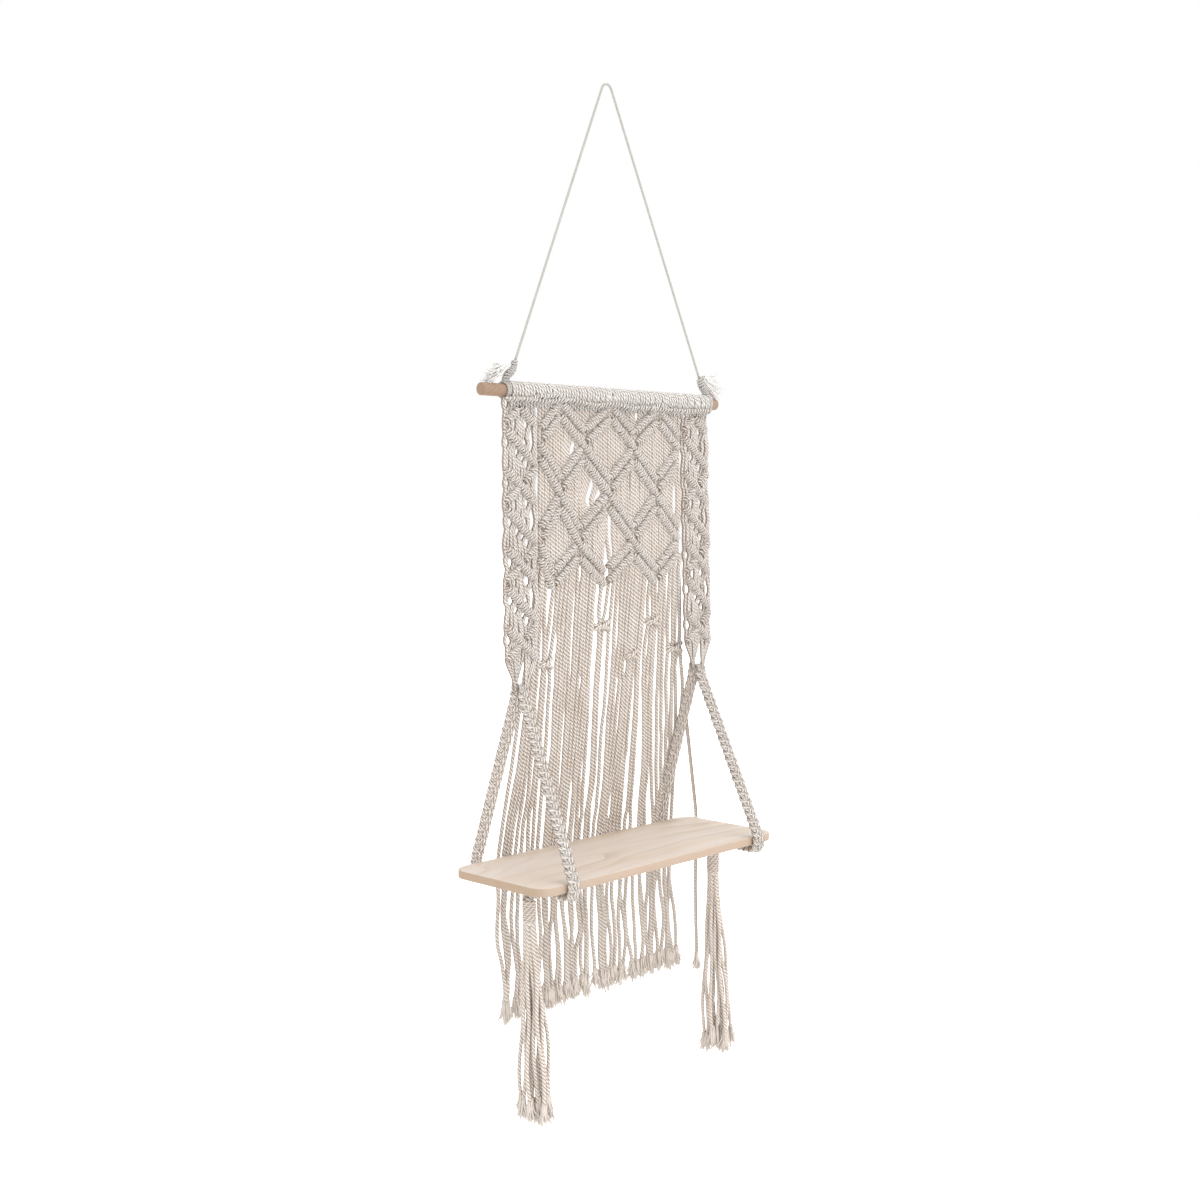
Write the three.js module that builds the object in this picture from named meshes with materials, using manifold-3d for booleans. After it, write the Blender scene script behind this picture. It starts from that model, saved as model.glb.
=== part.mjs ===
// Macrame wall shelf: a wooden rod on a hanging cord carries a knotted cotton panel, two knotted
// straps and four braids, and the braids hold a pine board in front of the panel's long fringe.
//
// Millimetres, +Z up, +X to the right along the rod. The front faces -Y and the wall is behind, at +Y.
// The origin is the underside of the hanging cord at its apex. Every height below is counted from the
// rod's axis, and the whole shelf hangs ROD_DROP under the origin.

import * as THREE from "three";
import { mergeVertices } from "three/addons/utils/BufferGeometryUtils.js";
import Module from "manifold-3d";

const wasm = await Module();
wasm.setup();

// Driving dimensions
const ROD_DROP = 378;
const ROD_LENGTH = 420;
const ROD_RADIUS = 7.5;
const ROD_SIDES = 20;
const BORE_SIDES = 12;
const PIECE_GAP = 0.35;
const STRAND_WIDTH = 4.4;
const STRAND_BACK_SHARE = 0.8;
const STRAND_PLANE_Y = -2;
const BOARD = { length: 430, front: -103.5, back: 51.4, top: -561, thickness: 10, corner: 22, edge: 1 };
const EDGE_CLEARANCE = 2;
const HEADING = { left: -168, right: 188, knots: 38, radius: 11.8, valley: 10.6, bump: 1.6 };
const CLOTH_TOP = -12.6;

// Hanging cord and its two knots on the rod
const HANGER_DIAMETER = 3;
const APEX_BEND_RADIUS = 9;
const HANGER_KNOTS = [
  {
    name: "hanger_knot_left", ringX: -172.35,
    coil: [[-172.6, 9], [-168.8, 17.5], [-160.3, 24], [-156, 34]],
    tails: [{ x: -193, z: 12 }, { x: -197, z: 18 }, { x: -192, z: 24 }, { x: -186, z: 30 }],
  },
  {
    name: "hanger_knot_right", ringX: 192.2,
    coil: [[192.4, 9], [189, 17.5], [182.5, 24], [178, 33]],
    tails: [{ x: 214, z: 18 }, { x: 212, z: 27 }, { x: 207, z: 36 }, { x: 200, z: 42 }],
  },
];
const HANGER_RING = { width: 7.4, radius: 10.9, valley: 10.0 };
const HANGER_COIL = { sides: 6, radius: 4.4, valley: 3.4, pitch: 8 };
const HANGER_TAIL = { radii: [1.6, 1.7, 0.8], sway: 8 };
const HANGER_LEG_RINGS = 11;

// Knotted cloth: strands side by side, raised into rows of knots with one ridge for each strand
const CLOTH = {
  back: 2, strand: 4.2, valley: 0.8, knot: 9, knotValley: 7.2, groove: 4.6, leastStep: 1.4,
};
// A row's swell ends at most this share of the way to its neighbour, and is this high where rows meet.
const SWELL = { share: 0.42, meeting: 0.75 };

// Centre panel: a diamond lattice whose lines are double rows of knots
const PANEL = { left: -122.5, right: 135.5, strands: 44, rowHalf: 8.2, rowPitch: 17 };
const LATTICE = [
  { z: -10, x: [-81, 9, 96] },
  { z: -62, x: [-122.5, -41, 50, 135.5] },
  { z: -119, x: [-81, 4, 92] },
  { z: -179, x: [-122.5, -49, 49, 135.5] },
  { z: -233, x: [-96, -3, 92] },
];
const PANEL_GAPS = [
  { name: "slit between the two halves", x: -2.5, z: -187, wide: 4.6, high: 108 },
  { name: "gap by the left diamond", x: -64, z: -67, wide: 4.2, high: 16 },
  { name: "outer gap of the left crescents", x: -36, z: -126, wide: 4.4, high: 20 },
  { name: "inner gap of the left crescents", x: -25, z: -127, wide: 4.4, high: 14 },
  { name: "gap at the right edge", x: 122, z: -126, wide: 4.4, high: 34 },
  { name: "gap under the heading", x: 45.5, z: -20.5, wide: 4.4, high: 9 },
];

// Straps: rows of knots every `step`, every second one crossed into an X
const STRAP = { half: 24, strands: 10, bulge: 2.5, bottom: -347, gatherFrom: -305, gatherHalf: 6 };
const STRAP_FOOT = { sides: 8, heights: [9, 4, 0], radii: [3, 9, 11], flatness: 0.7 };
const STRAP_ROWS = { half: 5.6, rise: 19.5, firstZ: -18, step: 46, count: 7 };
const STRAP_GAPS = [
  { name: "beside the low end of a row", across: 0.42, drop: -21, wide: 4.6, high: 9 },
  { name: "under the high end of a row", across: -0.74, drop: 4, wide: 4.6, high: 9 },
];
const STRAPS = [
  { name: "strap_left", topX: -151.5, bottomX: -149.5 },
  { name: "strap_right", topX: 163.5, bottomX: 176 },
];

// Fringe: strands from a zigzag strip under the panel, leaning back to hang behind the board
const FRINGE = {
  strands: 42, strip: 5, stripDrop: 16.9, topLeft: -119, topRight: 132, boardLeft: -139, boardRight: 153,
  endLeft: -138, endRight: 156, behind: 4.4, knee: -552, waveZ: -655, wave: 2.4, end: -760, endSpread: 12,
};
const GATHERING_KNOTS = [
  { x: -92, z: -325 }, { x: -2, z: -284 }, { x: 58, z: -324 }, { x: 92, z: -284 }, { x: 136, z: -322 },
];
const GATHERING = {
  reach: 11, pull: 0.85, half: 8, height: 9, depth: 9, scales: [0.55, 0.9, 1, 0.9, 0.55], shoulder: 0.6,
};

// Braids: from a strap's foot over one long edge of the board to the tassel's neck under the board
const BRAID = {
  radius: 6, valley: 0.8, sides: 5, pitch: 20, neckScale: 0.72, taperRings: 4, top: -347.4, plumb: 12,
};
// The round that a braid makes about the board's edge and the run from there to the neck
const EDGE_ROUND = { above: 3, topIn: 0.3, below: 1, bottomOut: 0.5, underIn: 3, underRise: 0.5 };
const UNDER_RUN = { start: 12, startShare: 0.1, end: 16, endShare: 0.8, sag: 1, neckDrop: 6 };
const NECK_Z = -592.5;
const NECK_Y = -26;
const NECK_OFFSET = 4.8;
const BRAIDS = [
  { name: "braid_front_left", topX: -149, edgeX: -171, neckX: -160.5, side: -1 },
  { name: "braid_back_left", topX: -150, edgeX: -168, neckX: -160.5, side: 1 },
  { name: "braid_front_right", topX: 177, edgeX: 169, neckX: 179.5, side: -1 },
  { name: "braid_back_right", topX: 175.5, edgeX: 165.5, neckX: 179.5, side: 1 },
];

// Loose strands that leave the right back braid and hang past the board
const LOOSE_STRANDS = [
  { rootZ: -430, boardX: 177, boardY: 56, endX: 183, endZ: -764 },
  { rootZ: -440, boardX: 182, boardY: 56, endX: 189, endZ: -770 },
  { rootZ: -450, boardX: 187, boardY: 56, endX: 197, endZ: -762 },
  { rootZ: -405, boardX: 220.5, boardY: 38, endX: 223, endZ: -774 },
];

const LOOSE_CLEARANCE = 6;

// Tassels: strands out of a wrapped neck under the board
const TASSEL = {
  strands: 12, headRadius: 8.6, headValley: 7.6, headTurns: 4, headLength: 30, headSides: 8, root: 4,
  topRadius: 4.6, endRadius: 16, innerReach: 0.45, endSpread: 16, drift: 0.4, opening: 0.55,
};
const TASSELS = [
  { name: "tassel_left", neckX: -160.5, endX: -150, end: -858 },
  { name: "tassel_right", neckX: 179.5, endX: 190, end: -860 },
];

const AXIS_X = new THREE.Vector3(1, 0, 0);
const AXIS_Y = new THREE.Vector3(0, 1, 0);
const AXIS_Z = new THREE.Vector3(0, 0, 1);
const LARGE = 2000;
const PLUG_REACH = 30;

// A repeatable number from 0 to 1 for strand i, so that ends are uneven but always the same.
function uneven(i, salt) {
  const raw = Math.sin(i * 12.9898 + salt * 78.233) * 43758.5453;
  return raw - Math.floor(raw);
}

function mix(a, b, t) {
  return a + (b - a) * t;
}

// Height of a polyline of [x, z] points at x.
function heightAt(points, x) {
  const last = points.length - 1;
  for (let i = 0; i < last; i += 1) {
    const [x0, z0] = points[i];
    const [x1, z1] = points[i + 1];
    if (x <= x1 || i === last - 1) {
      return mix(z0, z1, THREE.MathUtils.clamp((x - x0) / (x1 - x0), 0, 1));
    }
  }
  return points[last][1];
}

// A mesh from points and triangles, turned so that its faces point outwards.
function closedBody(points, index) {
  let volume = 0;
  for (let i = 0; i < index.length; i += 3) {
    volume += points[index[i]].dot(points[index[i + 1]].clone().cross(points[index[i + 2]]));
  }
  const outward = volume < 0 ? index.toReversed() : index;
  const geometry = new THREE.BufferGeometry().setFromPoints(points);
  geometry.setIndex(outward);
  return geometry;
}

// A closed body through a list of rings with the same number of points, with a flat lid at each end.
function bodyFromRings(rings) {
  const sides = rings[0].length;
  const index = [];
  for (let k = 0; k < rings.length - 1; k += 1) {
    for (let j = 0; j < sides; j += 1) {
      const a = k * sides + j;
      const b = k * sides + ((j + 1) % sides);
      index.push(a, b, b + sides, a, b + sides, a + sides);
    }
  }
  const end = (rings.length - 1) * sides;
  for (let j = 1; j < sides - 1; j += 1) {
    index.push(0, j + 1, j);
    index.push(end, end + j, end + j + 1);
  }
  return closedBody(rings.flat(), index);
}

// A section carried along a path. The section's second direction is as near as can be to reference.
function sweep(path, sectionAt, reference) {
  const rings = path.map((point, k) => {
    const before = path[Math.max(k - 1, 0)];
    const after = path[Math.min(k + 1, path.length - 1)];
    const along = after.clone().sub(before).normalize();
    const up = reference.clone().addScaledVector(along, -reference.dot(along)).normalize();
    const side = up.clone().cross(along);
    return sectionAt(k).map(([u, v]) => point.clone().addScaledVector(side, u).addScaledVector(up, v));
  });
  return bodyFromRings(rings);
}

// Points about `step` apart along a polyline, an even number of stretches, keeping its corners.
function evenPoints(corners, step) {
  const points = [corners[0].clone()];
  for (let i = 0; i < corners.length - 1; i += 1) {
    const stretches = Math.max(2, 2 * Math.round(corners[i].distanceTo(corners[i + 1]) / step));
    for (let k = 1; k <= stretches; k += 1) {
      points.push(corners[i].clone().lerp(corners[i + 1], k / stretches));
    }
  }
  return points;
}

function manifoldOf(geometry) {
  const bare = geometry.clone();
  bare.deleteAttribute("normal");
  bare.deleteAttribute("uv");
  const merged = mergeVertices(bare, 1e-4);
  return new wasm.Manifold(new wasm.Mesh({
    numProp: 3,
    vertProperties: new Float32Array(merged.attributes.position.array),
    triVerts: new Uint32Array(merged.index.array),
  }));
}

function geometryOf(solid) {
  const mesh = solid.getMesh();
  const geometry = new THREE.BufferGeometry();
  geometry.setAttribute("position", new THREE.BufferAttribute(new Float32Array(mesh.vertProperties), 3));
  geometry.setIndex(new THREE.BufferAttribute(new Uint32Array(mesh.triVerts), 1));
  return geometry;
}

function joined(geometries) {
  return geometries.map(manifoldOf).reduce((whole, piece) => whole.add(piece));
}

// The rod's own room inside a knot: a cylinder whose flats stay one gap outside the rod.
function rodBore() {
  const corner = (ROD_RADIUS + PIECE_GAP) / Math.cos(Math.PI / BORE_SIDES);
  const geometry = new THREE.CylinderGeometry(corner, corner, LARGE, BORE_SIDES);
  geometry.rotateZ(Math.PI / 2);
  return geometry;
}

// One hanging strand: a three-sided rib with its edge to the front.
function strand(points) {
  const half = STRAND_WIDTH / 2;
  const back = half * STRAND_BACK_SHARE;
  const section = [[-half, back], [half, back], [0, -half]];
  return sweep(points, () => section, AXIS_Y);
}

// Front depths of knotted cloth down one column of the sheet, from its top to the hem. Every row of
// knots has a crest, and its edges fall back to the strands. Rows that touch share one groove.
function clothColumn(sheet, t, isStrand) {
  const strandDepth = isStrand ? CLOTH.strand : CLOTH.valley;
  const knotDepth = isStrand ? CLOTH.knot : CLOTH.knotValley;
  const half = sheet.rowHalf;
  const levels = [{ z: sheet.top, depth: strandDepth }];
  let above = sheet.top;
  sheet.rows.forEach((row, k) => {
    const crest = Math.min(row.heightAt(t), above - CLOTH.leastStep);
    const isJoinedAbove = k > 0 && sheet.rows[k - 1].isJoinedBelow;
    if (!isJoinedAbove) {
      levels.push(edgeLevel(crest, above - crest, 1, half, strandDepth, knotDepth));
    }
    levels.push({ z: crest, depth: knotDepth });
    const next = sheet.rows[k + 1];
    const below = next ? Math.min(next.heightAt(t), crest - CLOTH.leastStep) : crest - LARGE;
    if (row.isJoinedBelow) {
      levels.push({ z: (crest + below) / 2, depth: CLOTH.groove });
    } else {
      levels.push(edgeLevel(crest, crest - below, -1, half, strandDepth, knotDepth));
    }
    above = crest;
  });
  if (sheet.bottom !== undefined) {
    levels.push({ z: sheet.bottom, depth: strandDepth });
  }
  return levels;
}

// The foot of a row's swell towards its neighbour, which stays raised where the two rows meet.
function edgeLevel(crest, gap, side, half, strandDepth, knotDepth) {
  const offset = Math.min(half, gap * SWELL.share);
  const openness = THREE.MathUtils.clamp((gap - half) / half, 0, 1);
  return { z: crest + side * offset, depth: mix(knotDepth * SWELL.meeting, strandDepth, openness) };
}

// A closed sheet of knotted cloth: a ridged front on a grid of columns, and a flat back with a plain
// outline. Its side walls run from every point of the front's rim to the nearest corner of the back.
function knottedSheet(sheet) {
  const columns = Array.from({ length: 2 * sheet.strands + 1 }, (_, j) => {
    const t = j / (2 * sheet.strands);
    return clothColumn(sheet, t, j % 2 === 1).map(({ z, depth }) => (
      new THREE.Vector3(sheet.xAt(t, z), STRAND_PLANE_Y + CLOTH.back - depth, z)
    ));
  });
  const rows = columns[0].length;
  const last = columns.length - 1;
  const points = columns.flat();
  const at = (j, k) => j * rows + k;
  const index = [];
  for (let j = 0; j < last; j += 1) {
    for (let k = 0; k < rows - 1; k += 1) {
      index.push(at(j, k), at(j, k + 1), at(j + 1, k + 1), at(j, k), at(j + 1, k + 1), at(j + 1, k));
    }
  }
  const isTurn = (j) => {
    const [z0, z1, z2] = [j - 1, j, j + 1].map((n) => columns[n][rows - 1].z);
    return (z1 - z0) * (z2 - z1) < 0;
  };
  const isSideCorner = (k) => k === 0 || k === rows - 1 || (sheet.isWavy && k % 3 === 0);
  const rim = [];
  for (let k = 0; k < rows; k += 1) {
    rim.push({ front: at(0, k), isCorner: isSideCorner(k) });
  }
  for (let j = 1; j < last; j += 1) {
    rim.push({ front: at(j, rows - 1), isCorner: isTurn(j) });
  }
  for (let k = rows - 1; k >= 0; k -= 1) {
    rim.push({ front: at(last, k), isCorner: isSideCorner(k) });
  }
  for (let j = last - 1; j > 0; j -= 1) {
    rim.push({ front: at(j, 0), isCorner: false });
  }
  addBack(points, index, rim);
  return closedBody(points, index);
}

// The flat back and the side walls of a sheet whose front rim is given counterclockwise.
function addBack(points, index, rim) {
  const corners = rim.flatMap((spot, n) => (spot.isCorner ? [n] : []));
  const firstBack = points.length;
  corners.forEach((n) => {
    const { x, z } = points[rim[n].front];
    points.push(new THREE.Vector3(x, STRAND_PLANE_Y + CLOTH.back, z));
  });
  const front = (n) => rim[n % rim.length].front;
  corners.forEach((from, c) => {
    const isLast = c === corners.length - 1;
    const to = isLast ? corners[0] + rim.length : corners[c + 1];
    const backFrom = firstBack + c;
    const backTo = isLast ? firstBack : firstBack + c + 1;
    const middle = Math.floor((from + to) / 2);
    for (let n = from; n < to; n += 1) {
      index.push(front(n), n < middle ? backFrom : backTo, front(n + 1));
    }
    index.push(front(middle), backFrom, backTo);
  });
  const outline = corners.map((n) => new THREE.Vector2(points[rim[n].front].x, points[rim[n].front].z));
  THREE.ShapeUtils.triangulateShape(outline, []).forEach(([a, b, c]) => {
    index.push(firstBack + a, firstBack + c, firstBack + b);
  });
}

// A lens-shaped plug that cuts a gap through the cloth.
function gapPlug(x, z, wide, high) {
  const outline = [
    [0, -high / 2], [wide / 2, -high / 4], [wide / 2, high / 4],
    [0, high / 2], [-wide / 2, high / 4], [-wide / 2, -high / 4],
  ];
  const path = [new THREE.Vector3(x, -PLUG_REACH, z), new THREE.Vector3(x, PLUG_REACH, z)];
  return sweep(path, () => outline, AXIS_Z);
}

function rod() {
  const geometry = new THREE.CylinderGeometry(ROD_RADIUS, ROD_RADIUS, ROD_LENGTH, ROD_SIDES);
  geometry.rotateZ(Math.PI / 2);
  return geometry;
}

function board() {
  const halfLength = BOARD.length / 2 - BOARD.edge;
  const front = BOARD.front + BOARD.edge;
  const back = BOARD.back - BOARD.edge;
  const r = BOARD.corner;
  const outline = new THREE.Shape();
  outline.moveTo(-halfLength + r, front);
  outline.lineTo(halfLength - r, front);
  outline.absarc(halfLength - r, front + r, r, -Math.PI / 2, 0);
  outline.absarc(halfLength - r, back - r, r, 0, Math.PI / 2);
  outline.absarc(-halfLength + r, back - r, r, Math.PI / 2, Math.PI);
  outline.absarc(-halfLength + r, front + r, r, Math.PI, 1.5 * Math.PI);
  const geometry = new THREE.ExtrudeGeometry(outline, {
    depth: BOARD.thickness - 2 * BOARD.edge,
    bevelThickness: BOARD.edge,
    bevelSize: BOARD.edge,
    bevelSegments: 1,
    curveSegments: 4,
  });
  geometry.translate(0, 0, BOARD.top - BOARD.thickness + BOARD.edge);
  return geometry;
}

// A ring of points round the rod at x. The lower front point carries the knots' own bump.
function ringRoundRod(x, radius, bump) {
  const sides = 8;
  const lowerFront = 4;
  return Array.from({ length: sides }, (_, j) => {
    const turn = (j + 0.5) / sides * 2 * Math.PI;
    const reach = radius + (j === lowerFront ? bump : 0);
    return new THREE.Vector3(x, -reach * Math.sin(turn), reach * Math.cos(turn));
  });
}

// The row of knots that covers the rod: one ridge for each knot.
function heading() {
  const rings = [];
  const pitch = (HEADING.right - HEADING.left) / HEADING.knots;
  for (let k = 0; k < HEADING.knots; k += 1) {
    rings.push(ringRoundRod(HEADING.left + k * pitch, HEADING.valley, 0));
    rings.push(ringRoundRod(HEADING.left + (k + 0.5) * pitch, HEADING.radius, HEADING.bump));
  }
  rings.push(ringRoundRod(HEADING.right, HEADING.valley, 0));
  const outside = manifoldOf(bodyFromRings(rings));
  return geometryOf(outside.subtract(manifoldOf(rodBore())));
}

// Two turns of the hanging cord round the rod, its coiled knot above them and the frayed tails.
function hangerKnot(knot) {
  const ring = HANGER_RING;
  const levels = [ring.valley, ring.radius, ring.valley, ring.radius, ring.valley];
  const start = knot.ringX - ring.width / 2;
  const step = ring.width / (levels.length - 1);
  const turns = bodyFromRings(levels.map((radius, k) => ringRoundRod(start + step * k, radius, 0)));

  const corners = knot.coil.map(([x, z]) => new THREE.Vector3(x, 0, z));
  const coilRadius = (k) => (k % 2 === 0 ? HANGER_COIL.valley : HANGER_COIL.radius);
  const coilPath = evenPoints(corners, HANGER_COIL.pitch);
  const coil = sweep(coilPath, (k) => polygon(HANGER_COIL.sides, coilRadius(k)), AXIS_Y);

  const middle = corners[2];
  const locks = knot.tails.map((tail, i) => {
    const tip = new THREE.Vector3(tail.x, (uneven(i, 3) - 0.5) * HANGER_TAIL.sway, tail.z);
    const path = [middle, middle.clone().lerp(tip, 0.5), tip];
    return sweep(path, (k) => polygon(4, HANGER_TAIL.radii[k]), AXIS_Y);
  });
  return geometryOf(joined([turns, coil, ...locks]).subtract(manifoldOf(rodBore())));
}

function polygon(sides, radius) {
  return Array.from({ length: sides }, (_, j) => {
    const turn = (j + 0.5) / sides * 2 * Math.PI;
    return [radius * Math.cos(turn), radius * Math.sin(turn)];
  });
}

// The hanging cord's route: from the left knot straight to the apex, round it, and down to the right.
function hangerRoute() {
  const [left, right] = HANGER_KNOTS.map(({ coil }) => new THREE.Vector3(coil[3][0], 0, coil[3][1]));
  const apexZ = ROD_DROP + HANGER_DIAMETER / 2;
  const bend = APEX_BEND_RADIUS;
  const centre = new THREE.Vector3(0, 0, apexZ - bend);
  const leftAngle = tangentAngle(centre, left, bend, 1);
  const rightAngle = tangentAngle(centre, right, bend, -1);
  const arc = [0, 0.25, 0.5, 0.75, 1].map((t) => {
    const turn = mix(leftAngle, rightAngle, t);
    return centre.clone().add(new THREE.Vector3(bend * Math.cos(turn), 0, bend * Math.sin(turn)));
  });
  const legs = HANGER_LEG_RINGS;
  const leftLeg = Array.from({ length: legs }, (_, k) => left.clone().lerp(arc[0], k / legs));
  const rightLeg = Array.from({ length: legs }, (_, k) => arc[4].clone().lerp(right, (k + 1) / legs));
  return [...leftLeg, ...arc, ...rightLeg];
}

// The angle on the bend's circle at which a straight leg from a low point touches it.
function tangentAngle(centre, low, radius, side) {
  const dx = low.x - centre.x;
  const dz = low.z - centre.z;
  const turn = Math.atan2(dz, dx) - side * Math.acos(radius / Math.hypot(dx, dz));
  return turn < 0 ? turn + 2 * Math.PI : turn;
}

// The hanging cord: an eight-sided tube with a ring at every point of its route.
function hangingCord() {
  const route = hangerRoute();
  route[0].addScaledVector(route[1].clone().sub(route[0]).normalize(), PIECE_GAP);
  const last = route.length - 1;
  route[last].addScaledVector(route[last - 1].clone().sub(route[last]).normalize(), PIECE_GAP);
  return sweep(route, () => polygon(8, HANGER_DIAMETER / 2), AXIS_Y);
}

// Height of a zigzag at x: it runs through one lattice level's points and the next level's.
function zigzag(x, upper, lower, rise, fall) {
  const corners = [
    ...upper.x.map((ux) => [ux, upper.z + rise]),
    ...lower.x.map((lx) => [lx, lower.z + fall]),
  ];
  corners.sort((a, b) => a[0] - b[0]);
  return heightAt(corners, x);
}

// The lattice's lines as rows of knots, from the top: each line is an upper and a lower row.
function latticeRows() {
  return LATTICE.slice(0, -1).flatMap((upper, level) => {
    const lower = LATTICE[level + 1];
    const xAt = (t) => mix(PANEL.left, PANEL.right, t);
    return [
      { heightAt: (t) => zigzag(xAt(t), upper, lower, 0, PANEL.rowPitch), isJoinedBelow: true },
      { heightAt: (t) => zigzag(xAt(t), upper, lower, -PANEL.rowPitch, 0), isJoinedBelow: false },
    ];
  });
}

// Height of the panel's hem at x, at the crest of its last row.
function hemAt(x) {
  const [upper, lower] = LATTICE.slice(-2);
  return zigzag(x, upper, lower, -PANEL.rowPitch, 0);
}

function panel() {
  const sheet = knottedSheet({
    strands: PANEL.strands,
    rowHalf: PANEL.rowHalf,
    top: CLOTH_TOP,
    rows: latticeRows(),
    isWavy: false,
    xAt: (t) => mix(PANEL.left, PANEL.right, t),
  });
  const plugs = PANEL_GAPS.map((gap) => gapPlug(gap.x, gap.z, gap.wide, gap.high));
  return geometryOf(manifoldOf(sheet).subtract(joined(plugs)));
}

// A strap's middle at height z.
function strapMiddle(spec, z) {
  return mix(spec.topX, spec.bottomX, z / STRAP.bottom);
}

// Half of a strap's width at height z: it bulges between the rows and gathers at the foot.
function strapHalf(z) {
  const wave = Math.sin((z - STRAP_ROWS.firstZ) / STRAP_ROWS.step * Math.PI) ** 2;
  const gather = THREE.MathUtils.clamp((STRAP.gatherFrom - z) / (STRAP.gatherFrom - STRAP.bottom), 0, 1);
  return mix(STRAP.half + wave * STRAP.bulge, STRAP.gatherHalf, gather);
}

// A strap's rows of knots from the top: X, falling row, X, and so on. The first X shows its lower half.
function strapRows() {
  const { rise, firstZ, step, count } = STRAP_ROWS;
  const rows = [];
  for (let k = 0; k < count; k += 1) {
    const z = firstZ - k * step;
    const across = (t) => 2 * t - 1;
    if (k % 2 === 1) {
      rows.push({ heightAt: (t) => z - rise * across(t), isJoinedBelow: false });
      continue;
    }
    if (k > 0) {
      rows.push({ heightAt: (t) => z + rise * Math.abs(across(t)), isJoinedBelow: false });
    }
    rows.push({ heightAt: (t) => z - rise * Math.abs(across(t)), isJoinedBelow: false });
  }
  return rows;
}

function strap(spec) {
  const sheet = knottedSheet({
    strands: STRAP.strands,
    rowHalf: STRAP_ROWS.half,
    top: CLOTH_TOP,
    bottom: STRAP.bottom,
    rows: strapRows(),
    isWavy: true,
    xAt: (t, z) => strapMiddle(spec, z) + (2 * t - 1) * strapHalf(z),
  });
  const plugs = [];
  for (let k = 0; k < STRAP_ROWS.count; k += 1) {
    STRAP_GAPS.forEach((gap) => {
      const z = STRAP_ROWS.firstZ - k * STRAP_ROWS.step + gap.drop;
      if (z < CLOTH_TOP - gap.high) {
        plugs.push(gapPlug(strapMiddle(spec, z) + gap.across * STRAP.half, z, gap.wide, gap.high));
      }
    });
  }
  const foot = STRAP_FOOT.heights.map((rise) => new THREE.Vector3(spec.bottomX, 0, STRAP.bottom + rise));
  const gather = sweep(foot, (k) => (
    polygon(STRAP_FOOT.sides, STRAP_FOOT.radii[k]).map(([u, v]) => [u, v * STRAP_FOOT.flatness])
  ), AXIS_X);
  return geometryOf(manifoldOf(sheet).subtract(joined(plugs)).add(manifoldOf(gather)));
}

// The fringe's depth at height z, for a strand whose root is at rootZ.
function fringeDepth(rootZ, z) {
  const behind = BOARD.back + FRINGE.behind;
  return mix(STRAND_PLANE_Y, behind, THREE.MathUtils.clamp((rootZ - z) / (rootZ - FRINGE.knee), 0, 1));
}

// The route of fringe strand i, from the strip to its cut end.
function fringeRoute(i) {
  const share = i / (FRINGE.strands - 1);
  const topX = mix(FRINGE.topLeft, FRINGE.topRight, share);
  const boardX = mix(FRINGE.boardLeft, FRINGE.boardRight, share);
  const endX = mix(FRINGE.endLeft, FRINGE.endRight, share);
  const rootZ = hemAt(topX) - FRINGE.stripDrop;
  const straightX = (z) => mix(topX, boardX, (rootZ - z) / (rootZ - FRINGE.knee));
  const route = [new THREE.Vector3(topX, STRAND_PLANE_Y, rootZ)];
  const knot = GATHERING_KNOTS.find((k) => Math.abs(straightX(k.z) - k.x) < GATHERING.reach);
  if (knot) {
    const x = knot.x + (straightX(knot.z) - knot.x) * GATHERING.pull;
    route.push(new THREE.Vector3(x, fringeDepth(rootZ, knot.z), knot.z));
  }
  const behind = BOARD.back + FRINGE.behind;
  const wave = (uneven(i, 1) - 0.5) * FRINGE.wave;
  const end = FRINGE.end - (uneven(i, 2) - 0.5) * FRINGE.endSpread;
  route.push(new THREE.Vector3(boardX, behind, FRINGE.knee));
  route.push(new THREE.Vector3(mix(boardX, endX, 0.5) + wave, behind, FRINGE.waveZ));
  route.push(new THREE.Vector3(endX, behind, end));
  return route;
}

// Four-sided strands that hang from the underside of a three-sided strip along their roots.
function comb(routes, stripHeight) {
  const half = STRAND_WIDTH / 2;
  const points = [];
  const index = [];
  const quad = (a, b, c, d) => index.push(a, b, c, a, c, d);
  const add = (x, y, z) => points.push(new THREE.Vector3(x, y, z)) - 1;
  let before = null;
  routes.forEach((route) => {
    const root = route[0];
    const [left, right] = [-half, half].map((u) => ({
      top: add(root.x + u, root.y, root.z + stripHeight),
      front: add(root.x + u, root.y - half, root.z),
      back: add(root.x + u, root.y + half, root.z),
    }));
    const spans = before ? [[before, left], [left, right]] : [[left, right]];
    spans.forEach(([a, b]) => {
      quad(a.top, a.front, b.front, b.top);
      quad(a.top, b.top, b.back, a.back);
    });
    if (before) {
      quad(before.front, before.back, left.back, left.front);
    } else {
      index.push(left.top, left.back, left.front);
    }
    let ring = [left.front, left.back, right.back, right.front];
    route.slice(1).forEach((p) => {
      const next = [
        add(p.x - half, p.y - half, p.z), add(p.x - half, p.y + half, p.z),
        add(p.x + half, p.y + half, p.z), add(p.x + half, p.y - half, p.z),
      ];
      ring.forEach((corner, j) => quad(corner, ring[(j + 1) % 4], next[(j + 1) % 4], next[j]));
      ring = next;
    });
    quad(...ring);
    before = right;
  });
  index.push(before.top, before.front, before.back);
  return closedBody(points, index);
}

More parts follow.
